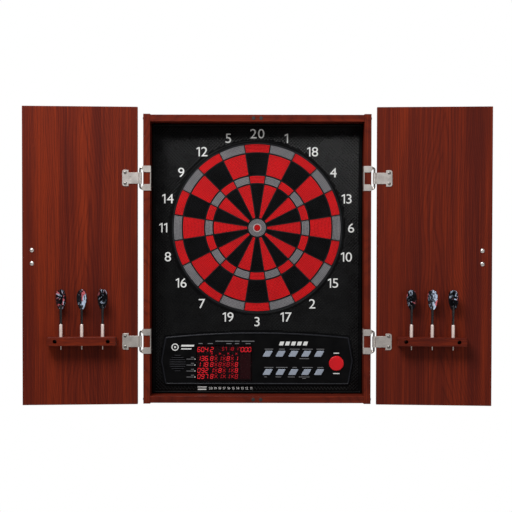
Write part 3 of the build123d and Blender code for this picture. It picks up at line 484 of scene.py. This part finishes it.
def perforated(outline, centres, front, back, inner_outline=None):
    """Points and faces of a plate with round blind holes, in (u, v, height). Faces come in two
    lists: the plate, and the floors of the holes."""
    n = len(outline)
    top = inset(outline, EDGE)
    coordinates = [Vector(p) for p in top]
    loops = [list(range(n))]
    if inner_outline:
        loops.append(list(range(len(coordinates), len(coordinates) + len(inner_outline))))
        coordinates += [Vector(p) for p in inner_outline]
    for u, v in centres:
        loops.append(list(range(len(coordinates), len(coordinates) + 6)))
        coordinates += [Vector(p) for p in circle(u, v, HOLE, 6)]
    flat, _, triangles, _, _, sources = delaunay_2d_cdt(coordinates, [], loops, 1, 1e-5)
    points = [(p.x, p.y, front) for p in flat]
    faces = [tuple(t) for t, source in zip(triangles, sources) if list(source) == [0]]
    floors = []

    def wall(loop, ring, height):
        """Joins the front's loop to a lower ring, and returns that ring's first index."""
        first = len(points)
        points.extend((u, v, height) for u, v in ring)
        count = len(loop)
        for i in range(count):
            faces.append((loop[i], first + i, first + (i + 1) % count, loop[(i + 1) % count]))
        return first

    edge = wall(loops[0], outline, front - EDGE)
    edge_loop = list(range(edge, edge + n))
    bottom = wall(edge_loop, outline, back)
    hole_loops = loops[1:]
    if inner_outline:
        deep = wall(hole_loops[0], inner_outline, back)
        count = len(inner_outline)
        spread = n // count
        for i in range(n):
            j = i // spread
            k = ((i + 1) // spread) % count
            a, b = bottom + i, bottom + (i + 1) % n
            faces.append((b, a, deep + j, deep + k) if j != k else (b, a, deep + j))
        hole_loops = hole_loops[1:]
    else:
        faces.append(tuple(range(bottom, bottom + n))[::-1])
    for loop in hole_loops:
        first = wall(loop, [tuple(coordinates[i]) for i in loop], front - HOLE_DEPTH)
        floors.append(tuple(range(first, first + len(loop))))
    return points, faces, floors


def ring_piece(name, inner, outer, first, body, material, finish):
    """Every second segment of a ring, from this wedge, in place of the CAD node."""
    outline = wedge_outline(inner, outer, SPOKE_GAP)
    centres = wedge_holes(inner, outer, SPOKE_GAP)
    back = segment_front - SEGMENT_DEPTH
    points, faces, floors = perforated(outline, centres, segment_front, back)
    shape = Shape()
    for k in range(WEDGES // 2):
        turn = math.pi / 2 - 2 * math.pi * (2 * k + first) / WEDGES
        cosine, sine = math.cos(turn), math.sin(turn)
        placed = []
        for u, v, h in points:
            placed.append(to_row(u * cosine - v * sine, u * sine + v * cosine + bull_v, h))
        start = len(shape.points)
        shape.add(placed, faces, 0)
        # the holes' floors take the second material, painted shade
        shape.faces += [tuple(start + i for i in floor) for floor in floors]
        shape.slots += [1] * len(floors)
    piece = shape.piece(name, [material, hole_floor_painted_shade], body, finish)
    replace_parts(piece, name.removesuffix("_holed"))


double_outer = (double_box[2][1] - double_box[2][0]) / 2 - flange
# inner radius, outer radius and body
rings = {
    "double": (double_outer - 19.0, double_outer - 0.5, "double_ring"),
    "outer_single": (125.5, 174.5, "outer_single_ring"),
    "triple": (105.5, 122.1, "triple_ring"),
    "inner_single": (24.0, 102.1, "inner_single_ring"),
}
colours = {"black": segment_black, "red": segment_red, "grey": segment_grey}
for ring, (inner, outer, body) in rings.items():
    pair = ("black", "red") if "single" in ring else ("red", "grey")
    for first, colour in enumerate(pair):
        name = f"{ring}_segments_{colour}_holed"
        ring_piece(name, inner, outer, first, body, colours[colour], f"segment_{colour}")


BULL_PITCH = 2.9
BULL_DEPTH = 4.0


def bull_piece(name, outer, inner, rows, body, material, finish):
    """A perforated disc, or a ring where inner is given, in place of the CAD node. rows are the
    radii of its rings of holes."""
    centres = []
    for radius in rows:
        count = max(1, round(2 * math.pi * radius / BULL_PITCH))
        centres += circle(0, 0, radius, count)
    hollow = circle(0, 0, inner, 24) if inner else None
    disc = circle(0, 0, outer, 48)
    back = segment_front - BULL_DEPTH
    points, faces, floors = perforated(disc, centres, segment_front, back, hollow)
    shape = Shape()
    placed = [to_row(u, v + bull_v, h) for u, v, h in points]
    shape.add(placed, faces, 0)
    # the holes' floors take the second material, painted shade
    shape.faces += floors
    shape.slots += [1] * len(floors)
    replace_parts(shape.piece(f"{name}_holed", [material, hole_floor_painted_shade], body, finish), name)


bull_piece("outer_bull", 20.6, 10.3, (12.5, 15.3, 18.1), "outer_bull", segment_grey, "segment_grey")
bull_piece("inner_bull", 7.0, None, (0, 2.6, 5.0), "inner_bull", segment_red, "segment_red")


# ---- housing: bezel, bead and woven relief -----------------------------------------------------
RIM = 5.5  # plain rim of the housing round the relief
BEAD = 2.0  # radius of the bead round the console
POD_CORNER, POD_SIDE = 30.5, 20.5  # in from the housing's sides
POD_TOP, POD_PEAK, POD_WAIST, POD_BOTTOM = 131.75, 143.25, 76.25, 20.75  # up from its lower edge
half_u = housing_box[0][1]
low_v = housing_box[2][0]
high_v = housing_box[2][1]


def rounded(corners, steps=6):
    """A closed outline from (u, v, radius) corners, each radius as an arc and 0 as a plain point."""
    points = []
    n = len(corners)
    for i, (u, v, radius) in enumerate(corners):
        if not radius:
            points.append((u, v))
            continue
        here = Vector((u, v))
        back = (Vector(corners[i - 1][:2]) - here).normalized()
        on = (Vector(corners[(i + 1) % n][:2]) - here).normalized()
        turn = math.acos(max(-1, min(1, back.dot(on))))
        reach = radius / math.tan(turn / 2)
        middle = here + (back + on).normalized() * (radius / math.sin(turn / 2))
        start = here + back * reach - middle
        sweep = math.pi - turn
        sign = 1 if start.x * on.y - start.y * on.x > 0 else -1
        for k in range(steps + 1):
            angle = sign * sweep * k / steps
            cosine, sine = math.cos(angle), math.sin(angle)
            u_on = middle.x + start.x * cosine - start.y * sine
            v_on = middle.y + start.x * sine + start.y * cosine
            points.append((u_on, v_on))
    return points


def pod_outline():
    """The console's edge, anticlockwise: swelling sides and an arched top."""
    side, corner = half_u - POD_SIDE, half_u - POD_CORNER
    top, waist, bottom = (low_v + rise for rise in (POD_TOP, POD_WAIST, POD_BOTTOM))
    rise = POD_PEAK - POD_TOP
    radius = (corner * corner + rise * rise) / (2 * rise)
    reach = math.asin(corner / radius)
    arch = []
    for k in range(1, 24):
        angle = reach * (1 - k / 12)
        arch.append((radius * math.sin(angle), top + rise - radius + radius * math.cos(angle), 0))
    corners = [(-corner, bottom, 5), (corner, bottom, 5), (side, waist, 25), (corner, top, 5)]
    corners += arch + [(-corner, top, 5), (-side, waist, 25)]
    return rounded(corners)


def inside(outline, u, v):
    """True where a point is within a closed outline."""
    hit = False
    for i, (u1, v1) in enumerate(outline):
        u0, v0 = outline[i - 1]
        if (v0 > v) != (v1 > v) and u < u0 + (v - v0) * (u1 - u0) / (v1 - v0):
            hit = not hit
    return hit


def tube(name, outline, height, radius, material, body):
    """A round bead that follows a front-view outline."""
    curve = bpy.data.curves.new(name, "CURVE")
    curve.dimensions = "3D"
    curve.bevel_depth = radius * MM
    curve.bevel_resolution = 3
    line = curve.splines.new("POLY")
    line.points.add(len(outline) - 1)
    for point, (u, v) in zip(line.points, outline):
        point.co = (*to_row(u, v, height), 1)
    line.use_cyclic_u = True
    curve.materials.append(material)
    line.use_smooth = True
    piece = bpy.data.objects.new(name, curve)
    bpy.context.scene.collection.objects.link(piece)
    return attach(piece, body)


def lathe(profile, turns=96):
    """Points and faces of a ring round the bullseye, from its closed profile of (radius, height)."""
    n = len(profile)
    points = []
    for i in range(turns):
        angle = 2 * math.pi * i / turns
        points += [to_row(r * math.cos(angle), bull_v + r * math.sin(angle), h) for r, h in profile]
    faces = []
    for i in range(turns):
        for k in range(n):
            here, on = i * n, (i + 1) % turns * n
            faces.append((here + k, here + (k + 1) % n, on + (k + 1) % n, on + k))
    return points, faces


pod_edge = pod_outline()
# the bead's lighter colour is a painted highlight
tube("console_bead", inset(pod_edge, 1.5), pod, BEAD, bead_painted_highlight, "cabinet")

OPENING = 200.9  # radius of the housing's opening
bezel_steps = ((0, -1), (0, 0.5), (0.7, 1.1), (3.2, 1.1), (4.6, 0.5), (4.8, -1))
bezel = Shape()
bezel.add(*lathe([(OPENING + out, face + rise) for out, rise in bezel_steps], 160))
bezel.piece("target_bezel", housing_black, "cabinet", "black_plastic", smooth=True)
# pale ring on the grey web between the two bulls: a painted highlight on the web's top
web_top = -extent("spider")[1][0]
bull_ring = Shape()
ring_corners = ((7.9, -0.5), (7.9, 0.1), (9.5, 0.1), (9.5, -0.5))
bull_ring.add(*lathe([(radius, web_top + rise) for radius, rise in ring_corners]))
bull_ring.piece("bull_web_ring", web_ring_painted_highlight, "cabinet", "web_grey")

WEAVE = 3.92  # half the pitch of the woven relief
RELIEF = 1.1  # its height
weave_edge = inset(pod_edge, -2.0)
weave = Shape()
columns = int((half_u - RIM) / WEAVE)
rows = int((high_v - RIM) / WEAVE)
grid = {}


def weave_point(i, j):
    """The relief's point in this column and row, made once."""
    if (i, j) not in grid:
        grid[i, j] = len(weave.points)
        weave.points.append(to_row(i * WEAVE, j * WEAVE, face + 0.05 + RELIEF * ((i + j) % 2)))
    return grid[i, j]


def woven(i, j):
    """True where the relief covers a point of the housing's front."""
    u, v = i * WEAVE, j * WEAVE
    if math.hypot(u, v - bull_v) < OPENING + 4.2:
        return False
    return v > low_v + POD_PEAK + 3 or not inside(weave_edge, u, v)


covered = {(i, j): woven(i, j) for i in range(-columns, columns + 1) for j in range(-rows, rows + 1)}
for i in range(-columns, columns):
    for j in range(-rows, rows):
        corners = [(i, j), (i + 1, j), (i + 1, j + 1), (i, j + 1)]
        if all(covered[c] for c in corners):
            a, b, c, d = (weave_point(*corner) for corner in corners)
            if (i + j) % 2:
                weave.faces += [(a, b, c), (a, c, d)]
            else:
                weave.faces += [(a, b, d), (b, c, d)]
weave.slots = [0] * len(weave.faces)
weave.piece("woven_relief", mesh_black, "cabinet", "black_plastic")


# ---- printing ----------------------------------------------------------------------------------
WIDEN = 1.08  # the figures are a little wider than the font's
# a figure one, one unit high, with a short flag
ONE = ((0.22, 0.0), (0.35, 0.0), (0.35, 1.0), (0.25, 1.0), (0.0, 0.86), (0.0, 0.73), (0.22, 0.83))


def figure(character, height):
    """A figure as a flat mesh from (0, 0) up and right, in millimetres: points, faces and width."""
    if character == "1":
        points = [(u * height, v * height) for u, v in ONE]
        return points, [tuple(range(len(ONE)))], 0.35 * height
    curve = bpy.data.curves.new("figure", "FONT")
    curve.body = character
    curve.resolution_u = 6
    holder = bpy.data.objects.new("figure", curve)
    bpy.context.scene.collection.objects.link(holder)
    bpy.context.view_layer.update()
    mesh = bpy.data.meshes.new_from_object(holder)
    across = [p.co.x for p in mesh.vertices]
    up = [p.co.y for p in mesh.vertices]
    scale = height / (max(up) - min(up))
    stretch = scale * WIDEN
    points = [((u - min(across)) * stretch, (v - min(up)) * scale) for u, v in zip(across, up)]
    faces = [tuple(polygon.vertices) for polygon in mesh.polygons]
    bpy.data.objects.remove(holder)
    bpy.data.meshes.remove(mesh)
    bpy.data.curves.remove(curve)
    return points, faces, (max(across) - min(across)) * stretch


def print_number(shape, text, u, v, height, level):
    """A number centred at (u, v), lying at this height in front of the wall."""
    figures = [figure(character, height) for character in text]
    gap = 0.15 * height
    left = u - (sum(width for _, _, width in figures) + gap * (len(text) - 1)) / 2
    for points, faces, width in figures:
        shape.add([to_row(left + a, v - height / 2 + b, level) for a, b in points], faces)
        left += width + gap


NUMERAL = 22.0
NUMERAL_RADIUS = 221.0
numerals = Shape()
order = (20, 1, 18, 4, 13, 6, 10, 15, 2, 17, 3, 19, 7, 16, 8, 11, 14, 9, 12, 5)
for k, number in enumerate(order):
    angle = math.pi / 2 - 2 * math.pi * k / WEDGES
    u, v = NUMERAL_RADIUS * math.cos(angle), bull_v + NUMERAL_RADIUS * math.sin(angle)
    print_number(numerals, str(number), u, v, NUMERAL, face + RELIEF + 0.3)
numeral_print = numerals.piece("target_numerals", ink, "cabinet", "black_plastic")
solid = numeral_print.modifiers.new("thickness", "SOLIDIFY")
solid.thickness = 0.25 * MM

# console printing: bars where the real one has words, and plain numbers
lens_u, lens_v = lens_box[0], lens_box[2]
PRINT = pod + 0.06


def bar(shape, u, v, width, height=1.7, level=PRINT, lean=0.0, slot=0):
    """A printed bar, centred."""
    outline = box_outline(u - width / 2, u + width / 2, v - height / 2, v + height / 2, lean)
    shape.prism(outline, level - 0.05, level + 0.03, slot)


bars = Shape()
keys = [extent(f"key_{n:02d}") for n in range(1, 11)]
key_centres = [(sum(k[0]) / 2, sum(k[2]) / 2) for k in keys]
key_half = (keys[0][2][1] - keys[0][2][0]) / 2
above_widths = (20, 13, 23, 24, 18, 21, 27, 10, 25, 14)
below_widths = {3: (22,), 5: (6,), 6: (13,), 7: (16,), 8: (25, 8)}
for n, (u, v) in enumerate(key_centres):
    bar(bars, u + 3, v + key_half + 2.6, above_widths[n], 1.5, slot=1)
    for line, width in enumerate(below_widths.get(n, ())):
        bar(bars, u - 5, v - key_half - 3.2 - 3.4 * line, width, 1.5, slot=1)
start_u, start_v = sum(button_box[0]) / 2, sum(button_box[2]) / 2
bar(bars, start_u, start_v + 24, 13, 2.2)
bar(bars, start_u, start_v - 24, 15, 2.2)
# five slanted blocks in place of the name over the keys
BLOCK_PITCH = 14.0
blocks_u = (key_centres[0][0] + key_centres[4][0]) / 2 - 1.3
for k in range(5):
    bar(bars, blocks_u + (k - 2) * BLOCK_PITCH, low_v + 117.5, 9.5, 9.0, lean=3.0)
# a ring and two bars in place of the badge over the speaker
speaker_u = sum(extent("speaker")[0]) / 2
badge_u, badge_v = speaker_u - 6.0, low_v + 108.5
ring_mark = circle(badge_u, badge_v, 8.5, 48)
ring_hole = circle(badge_u, badge_v, 6.3, 48)
for i in range(48):
    j = (i + 1) % 48
    quad = [ring_mark[i], ring_mark[j], ring_hole[j], ring_hole[i]]
    bars.prism(quad, PRINT - 0.05, PRINT + 0.03)
bars.prism(circle(badge_u, badge_v, 2.4, 24), PRINT - 0.05, PRINT + 0.03)
bar(bars, badge_u + 29, badge_v + 3.4, 30, 4.2, lean=1.4)
bar(bars, badge_u + 26, badge_v - 4.2, 24, 2.6, lean=0.9)
# column labels over the window: how far along it, their widths, and which lines they have
UPPER, LOWER, BOTH = "upper", "lower", "upper and lower"
labels = (
    (9.5, 12, LOWER),
    (32.5, 18, LOWER),
    (54.5, 20, UPPER),
    (76.5, 22, BOTH),
    (95.5, 12, BOTH),
    (121.5, 30, BOTH),
)
for along, width, lines in labels:
    if lines != LOWER:
        bar(bars, lens_u[0] + along, lens_v[1] + 9.3, width, slot=1)
    if lines != UPPER:
        bar(bars, lens_u[0] + along, lens_v[1] + 3.6, min(width, 15) * 0.8, slot=1)
# player labels beside the window, with a pointer each
ROW_PITCH = 14.1
first_row = lens_v[1] - 32.0
for k in range(4):
    v = first_row - k * ROW_PITCH
    bar(bars, lens_u[0] - 9.5, v + 3.0, 7, 1.4, slot=1)
    bar(bars, lens_u[0] - 15, v - 1.2, 17, 1.3, slot=1)
    pointer = [(lens_u[0] - 4.6, v - 2.9), (lens_u[0] - 1.9, v - 1.2), (lens_u[0] - 4.6, v + 0.5)]
    bars.prism(pointer, PRINT - 0.05, PRINT)
bars.piece("console_print", [ink, ink_dim], "cabinet", "black_plastic")

# ribs of the speaker grille, between the housing's slots
GRILLE_RADIUS, GRILLE_PITCH, RIB = 19.4, 5.2, 0.9
ribs = Shape()
for k in range(-4, 4):
    rise = (k + 0.5) * GRILLE_PITCH
    reach = math.sqrt(max(0, GRILLE_RADIUS**2 - rise**2))
    if reach > 4:
        low_edge, high_edge = start_v + rise - RIB, start_v + rise + RIB
        rib = box_outline(speaker_u - reach, speaker_u + reach, low_edge, high_edge)
        ribs.prism(rib, pod - 0.2, pod + 0.5, bevel=0.3)
ribs.piece("grille_ribs", rib_black, "cabinet", "black_plastic")

STRIP = face + RELIEF + 0.1  # front of the plate under the window
strip = Shape()
for line, width in ((0, 21), (1, 20)):
    bar(strip, lens_u[0] + 13, low_v + 14.2 - 5.6 * line, width, 2.6, STRIP + 0.05)
for k in range(10):
    u = lens_u[0] + 33.5 + k * 10.6
    print_number(strip, str(20 - k), u, low_v + 11.3, 5.6, STRIP + 0.1)
strip.piece("strip_print", ink, "cabinet", "black_plastic")
strip_left, strip_right = lens_u[0] - 2, lens_u[1] + 5
strip_low, strip_high = low_v + 5.2, low_v + 19.3
strip_base = Shape()
strip_corners = box_outline(strip_left, strip_right, strip_low, strip_high)
strip_edge = rounded([(u, v, 1.5) for u, v in strip_corners])
strip_base.prism(strip_edge, face - 0.5, STRIP, bevel=0.2)
strip_base.piece("strip_plate", housing_black, "cabinet", "black_plastic")

# ---- display -----------------------------------------------------------------------------------
# which of the seven bars a digit lights
BARS = {
    "0": "abcdef",
    "1": "bc",
    "2": "abdeg",
    "3": "abcdg",
    "4": "bcfg",
    "5": "acdfg",
    "6": "acdefg",
    "7": "abc",
    "8": "abcdefg",
    "9": "abcdfg",
}
LIT, HALF_LIT, UNLIT = 0, 1, 2
module_front = -extent("display_module")[1][0]
display = Shape()


def hexagon(a, b, half):
    """A bar's outline from a to b with pointed ends, half as wide as this each side."""
    along = (Vector(b) - Vector(a)).normalized() * half
    off = Vector((-along.y, along.x))
    start, end = Vector(a), Vector(b)
    return [start, start + along - off, end - along - off, end, end - along + off, start + along + off]


def digit(text, u, v, width, height, brightness):
    """A leaning seven-bar digit centred at (u, v). Its unlit bars show faintly."""
    stroke = width * 0.19
    gap = stroke * 0.16
    side = (width - stroke) / 2
    top = (height - stroke) / 2
    ends = {
        "a": ((-side + gap, top), (side - gap, top)),
        "b": ((side, gap), (side, top - gap)),
        "c": ((side, gap - top), (side, -gap)),
        "d": ((-side + gap, -top), (side - gap, -top)),
        "e": ((-side, gap - top), (-side, -gap)),
        "f": ((-side, gap), (-side, top - gap)),
        "g": ((-side + gap, 0), (side - gap, 0)),
    }
    for name, (a, b) in ends.items():
        slot = brightness if name in BARS[text] else UNLIT
        leaning = [(u + p.x + p.y * 0.14, v + p.y) for p in hexagon(a, b, stroke / 2)]
        display.prism(leaning, module_front + 0.1, module_front + 0.35, slot)


def cross(u, v, width, height):
    """A dim X between two digits."""
    for lean, lift in ((1, 0.0), (-1, 0.06)):
        a, b = (u - lean * width / 2, v - height / 2), (u + lean * width / 2, v + height / 2)
        outline = [tuple(p) for p in hexagon(a, b, 0.5)]
        display.prism(outline, module_front + 0.1, module_front + 0.35 + lift, HALF_LIT)


DIGIT = (7.6, 11.6)  # width and height
DIGIT_PITCH, MARK_PITCH = 8.9, 19.3
first_digit, first_mark = lens_u[0] + 5.6, lens_u[0] + 36.0
top_row = lens_v[1] - 10.9
for k, text in enumerate("604"):
    digit(text, first_digit + DIGIT_PITCH * k, top_row, *DIGIT, LIT)
digit("2", first_mark, top_row, *DIGIT, LIT)
for k, text in enumerate(("57", "18", "17")):
    for n, character in enumerate(text):
        digit(character, lens_u[0] + 62.5 + 16.5 * k + 6.2 * n, top_row + 1.6, 5.2, 8.2, HALF_LIT)
for k in range(3):
    digit("0", lens_u[0] + 108.0 + 8.6 * k, top_row, *DIGIT, LIT)
# a score a row, then four marks with a cross between each two. True: fully lit
score_rows = ("136", "118", "092", "097")
marks = (
    (("8", True), ("1", False), ("8", True), ("1", True)),
    (("8", True), ("8", False), ("8", False), ("8", True)),
    (("1", True), ("8", True), ("1", False), ("8", True)),
    (("8", True), ("1", False), ("1", False), ("8", False)),
)
for row in range(4):
    v = first_row - row * ROW_PITCH
    for k, text in enumerate(score_rows[row]):
        digit(text, first_digit + DIGIT_PITCH * k, v, *DIGIT, LIT)
    for k, (text, bright) in enumerate(marks[row]):
        u = first_mark + MARK_PITCH * k
        digit(text, u, v, 6.9, 11.2, LIT if bright else HALF_LIT)
        if k < 3:
            between = u + 9.7
            cross(between, v, 7.4, 8.0)
            cross(between, v + ROW_PITCH / 2, 2.4, 2.4)
for k in range(4):
    cross(first_mark + MARK_PITCH * k, first_row + 11.5, 5.0, 4.0)
display.piece("display_digits", [lit, half_lit, unlit], "cabinet", "lens_red")

mask = Shape()
mask_edge = box_outline(lens_u[0] + 2.2, lens_u[1] - 2.2, lens_v[0] + 2.2, lens_v[1] - 2.2)
mask.prism(mask_edge, module_front - 0.2, module_front + 0.08)
mask.piece("display_mask", led("display_mask", linear(18, 6, 8), 0.0), "cabinet", "circuit")
panel = Shape()
panel_edge = box_outline(lens_u[0] + 103, lens_u[1] - 4, lens_v[0] + 5, lens_v[1] - 21)
panel.prism(panel_edge, module_front, module_front + 0.12)
panel_look = led("display_dim_panel", linear(52, 10, 16), 0.25)
panel.piece("display_dim_panel", panel_look, "cabinet", "lens_red")


# ---- darts -------------------------------------------------------------------------------------
def turned(name, profile, centre, material, body):
    """A round piece about an upright line, from its (radius, height) profile in millimetres."""
    turns = 28
    n = len(profile)
    x, y, z = centre
    points = []
    for i in range(turns):
        angle = 2 * math.pi * i / turns
        cosine, sine = math.cos(angle) * MM, math.sin(angle) * MM
        points += [(x + r * cosine, y + r * sine, z + h * MM) for r, h in profile]
    faces = [
        (i * n + k, (i + 1) % turns * n + k, (i + 1) % turns * n + k + 1, i * n + k + 1)
        for i in range(turns)
        for k in range(n - 1)
    ]
    faces += [tuple(i * n for i in range(turns))[::-1], tuple(i * n + n - 1 for i in range(turns))]
    piece = new_piece(name, points, faces, material, smooth=True)
    piece.data.set_sharp_from_angle(angle=math.radians(32))
    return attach(piece, body)


# profiles as (radius, height over the tip's point), and the same heights for the barrel and flight
TIP = ((0.5, 0), (0.9, 1.2), (1.15, 6), (1.5, 12), (1.9, 17.2), (2.35, 17.5), (2.35, 19.4), (1.9, 22.1))
SHAFT = (
    (2.2, 58.6),
    (2.9, 59.2),
    (2.9, 60.5),
    (2.6, 61.2),
    (2.7, 76),
    (2.9, 88),
    (2.9, 101.5),
    (2.2, 103),
)
BARREL_START, BARREL_END, BARREL_RADIUS = 22.1, 59.0, 3.8
FLIGHT_START, FLIGHT_END, FLIGHT_HALF = 91.5, 139.0, 15.0
FILM = 0.3  # thickness of a vane
CURL = 0.5
ROOT = 1.4  # least width of a vane past its ends


def barrel_profile():
    """A slim, nearly straight barrel with shallow grip rings."""
    profile = [(1.8, BARREL_START), (3.0, BARREL_START + 0.4)]
    steps = 60
    for k in range(steps + 1):
        t = k / steps
        height = BARREL_START + 1.2 + (BARREL_END - BARREL_START - 2.4) * t
        radius = BARREL_RADIUS - 0.35 * (2 * t - 1) ** 4
        if 0.12 < t < 0.88 and k % 5 == 0:
            radius -= 0.12
        profile.append((radius, height))
    return profile + [(2.9, BARREL_END - 0.4), (1.9, BARREL_END)]


def flight(name, centre, turn, materials, body, pale_vane=None):
    """Four thin vanes, widest at their middle and slightly curled. pale_vane is the one, 0 to 3,
    that wears the second material."""
    steps = 18
    outline = []
    for k in range(steps + 1):
        t = k / steps
        swell = math.sin(math.pi * t**1.3)
        width = ROOT + (FLIGHT_HALF - ROOT) * swell**0.42 if 0 < k < steps else 0.6
        outline.append((width, FLIGHT_START + (FLIGHT_END - FLIGHT_START) * t))
    x, y, z = centre
    points, faces, slots = [], [], []
    for vane in range(4):
        angle = turn + vane * math.pi / 2
        along = Vector((math.cos(angle), math.sin(angle)))
        off = Vector((-along.y, along.x))
        first = len(points)
        for side in (-FILM / 2, FILM / 2):
            for r, h in outline:
                for share in (0.0, 0.5, 1.0):
                    curl = CURL * math.sin(math.pi * share) * (r / FLIGHT_HALF)
                    spot = along * (r * share) + off * (side + curl)
                    points.append((x + spot.x * MM, y + spot.y * MM, z + h * MM))
        layer = 3 * (steps + 1)
        for k in range(steps):
            for c in range(2):
                a = first + 3 * k + c
                b = a + layer
                faces += [(a, a + 1, a + 4, a + 3), (b, b + 3, b + 4, b + 1)]
            edge = first + 3 * k + 2
            faces.append((edge, edge + layer, edge + layer + 3, edge + 3))
            root = first + 3 * k
            faces.append((root, root + 3, root + 3 + layer, root + layer))
        for k in (0, steps):
            for c in range(2):
                a = first + 3 * k + c
                cap = (a, a + layer, a + 1 + layer, a + 1)
                faces.append(cap if k == 0 else cap[::-1])
        slots += [1 if vane == pale_vane else 0] * (len(faces) - len(slots))
    piece = new_piece(name, points, faces, materials, smooth=True, face_slots=slots)
    piece.data.set_sharp_from_angle(angle=math.radians(40))
    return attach(piece, body)


pale_film = marbled("flight_film_pale", 9, 0.14)
barrel = barrel_profile()
for side, lean in (("right", -4.0), ("left", 4.0)):
    for number in (1, 2, 3):
        dart = f"dart_{side}_{number}"
        low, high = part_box(dart)
        centre = ((low.x + high.x) / 2, (low.y + high.y) / 2, low.z)
        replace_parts(turned(f"{dart}_barrel", barrel, centre, barrel_metal, dart), dart)
        turned(f"{dart}_tip", TIP, centre, tip_plastic, dart)
        turned(f"{dart}_shaft", SHAFT, centre, shaft_plastic, dart)
        film = marbled(f"flight_film_{side}_{number}", number + (3 if side == "left" else 0))
        pale_vane = 3 if dart in ("dart_left_2", "dart_right_2") else None
        flight(f"{dart}_flight", centre, math.radians(45 + lean), [film, pale_film], dart, pale_vane)


# ---- lights, camera and stage ------------------------------------------------------------------
def area_light(name, place, size, power):
    """A rectangle of light that faces the object."""
    data = bpy.data.lights.new(name, "AREA")
    data.shape = "RECTANGLE"
    data.size, data.size_y = size
    data.energy = power
    lamp = bpy.data.objects.new(name, data)
    lamp.location = place
    lamp.rotation_mode = "QUATERNION"
    lamp.rotation_quaternion = (-Vector(place)).to_track_quat("-Z", "Y")
    bpy.context.scene.collection.objects.link(lamp)


area_light("key", (-0.8, -1.45, 1.9), (1.6, 1.0), 84)
area_light("fill", (1.9, -2.4, 0.3), (1.4, 1.4), 12)
area_light("rear", (0.6, 2.4, 1.8), (2.0, 1.5), 70)

world = bpy.data.worlds.new("studio")
bpy.context.scene.world = world
world.use_nodes = True
links = world.node_tree
background = links.nodes["Background"]
background.inputs["Color"].default_value = (1, 1, 1, 1)
path = links.nodes.new("ShaderNodeLightPath")
strength = links.nodes.new("ShaderNodeMix")
strength.inputs["A"].default_value = 0.13
strength.inputs["B"].default_value = 1.0
links.links.new(path.outputs["Is Camera Ray"], strength.inputs["Factor"])
links.links.new(strength.outputs["Result"], background.inputs["Strength"])

FLOOR = -1.657  # the bullseye hangs at its usual height of 1.73 m
floor_look = Look("floor", linear(236, 236, 234), 0.7)
floor_look.bump(floor_look.noise(floor_look.place(), 9.0, 3.0), 0.02, 0.002)
floor = new_piece(
    "floor",
    [(-3.7, -3.7, FLOOR), (3.7, -3.7, FLOOR), (3.7, 3.7, FLOOR), (-3.7, 3.7, FLOOR)],
    [(0, 1, 2, 3)],
    floor_look.material,
)

camera_data = bpy.data.cameras.new("camera")
camera_data.sensor_width = 36.0
camera_data.lens = 75.9
camera = bpy.data.objects.new("camera", camera_data)
camera.location = (0, -2.593, 0.0587)
look_down, look_left, roll = 1.173, 0.063, -0.092  # degrees
camera.rotation_mode = "XYZ"
camera.rotation_euler = (math.radians(90 - look_down), math.radians(roll), math.radians(look_left))
bpy.context.scene.collection.objects.link(camera)
bpy.context.scene.camera = camera
bpy.context.scene.view_settings.view_transform = "Standard"
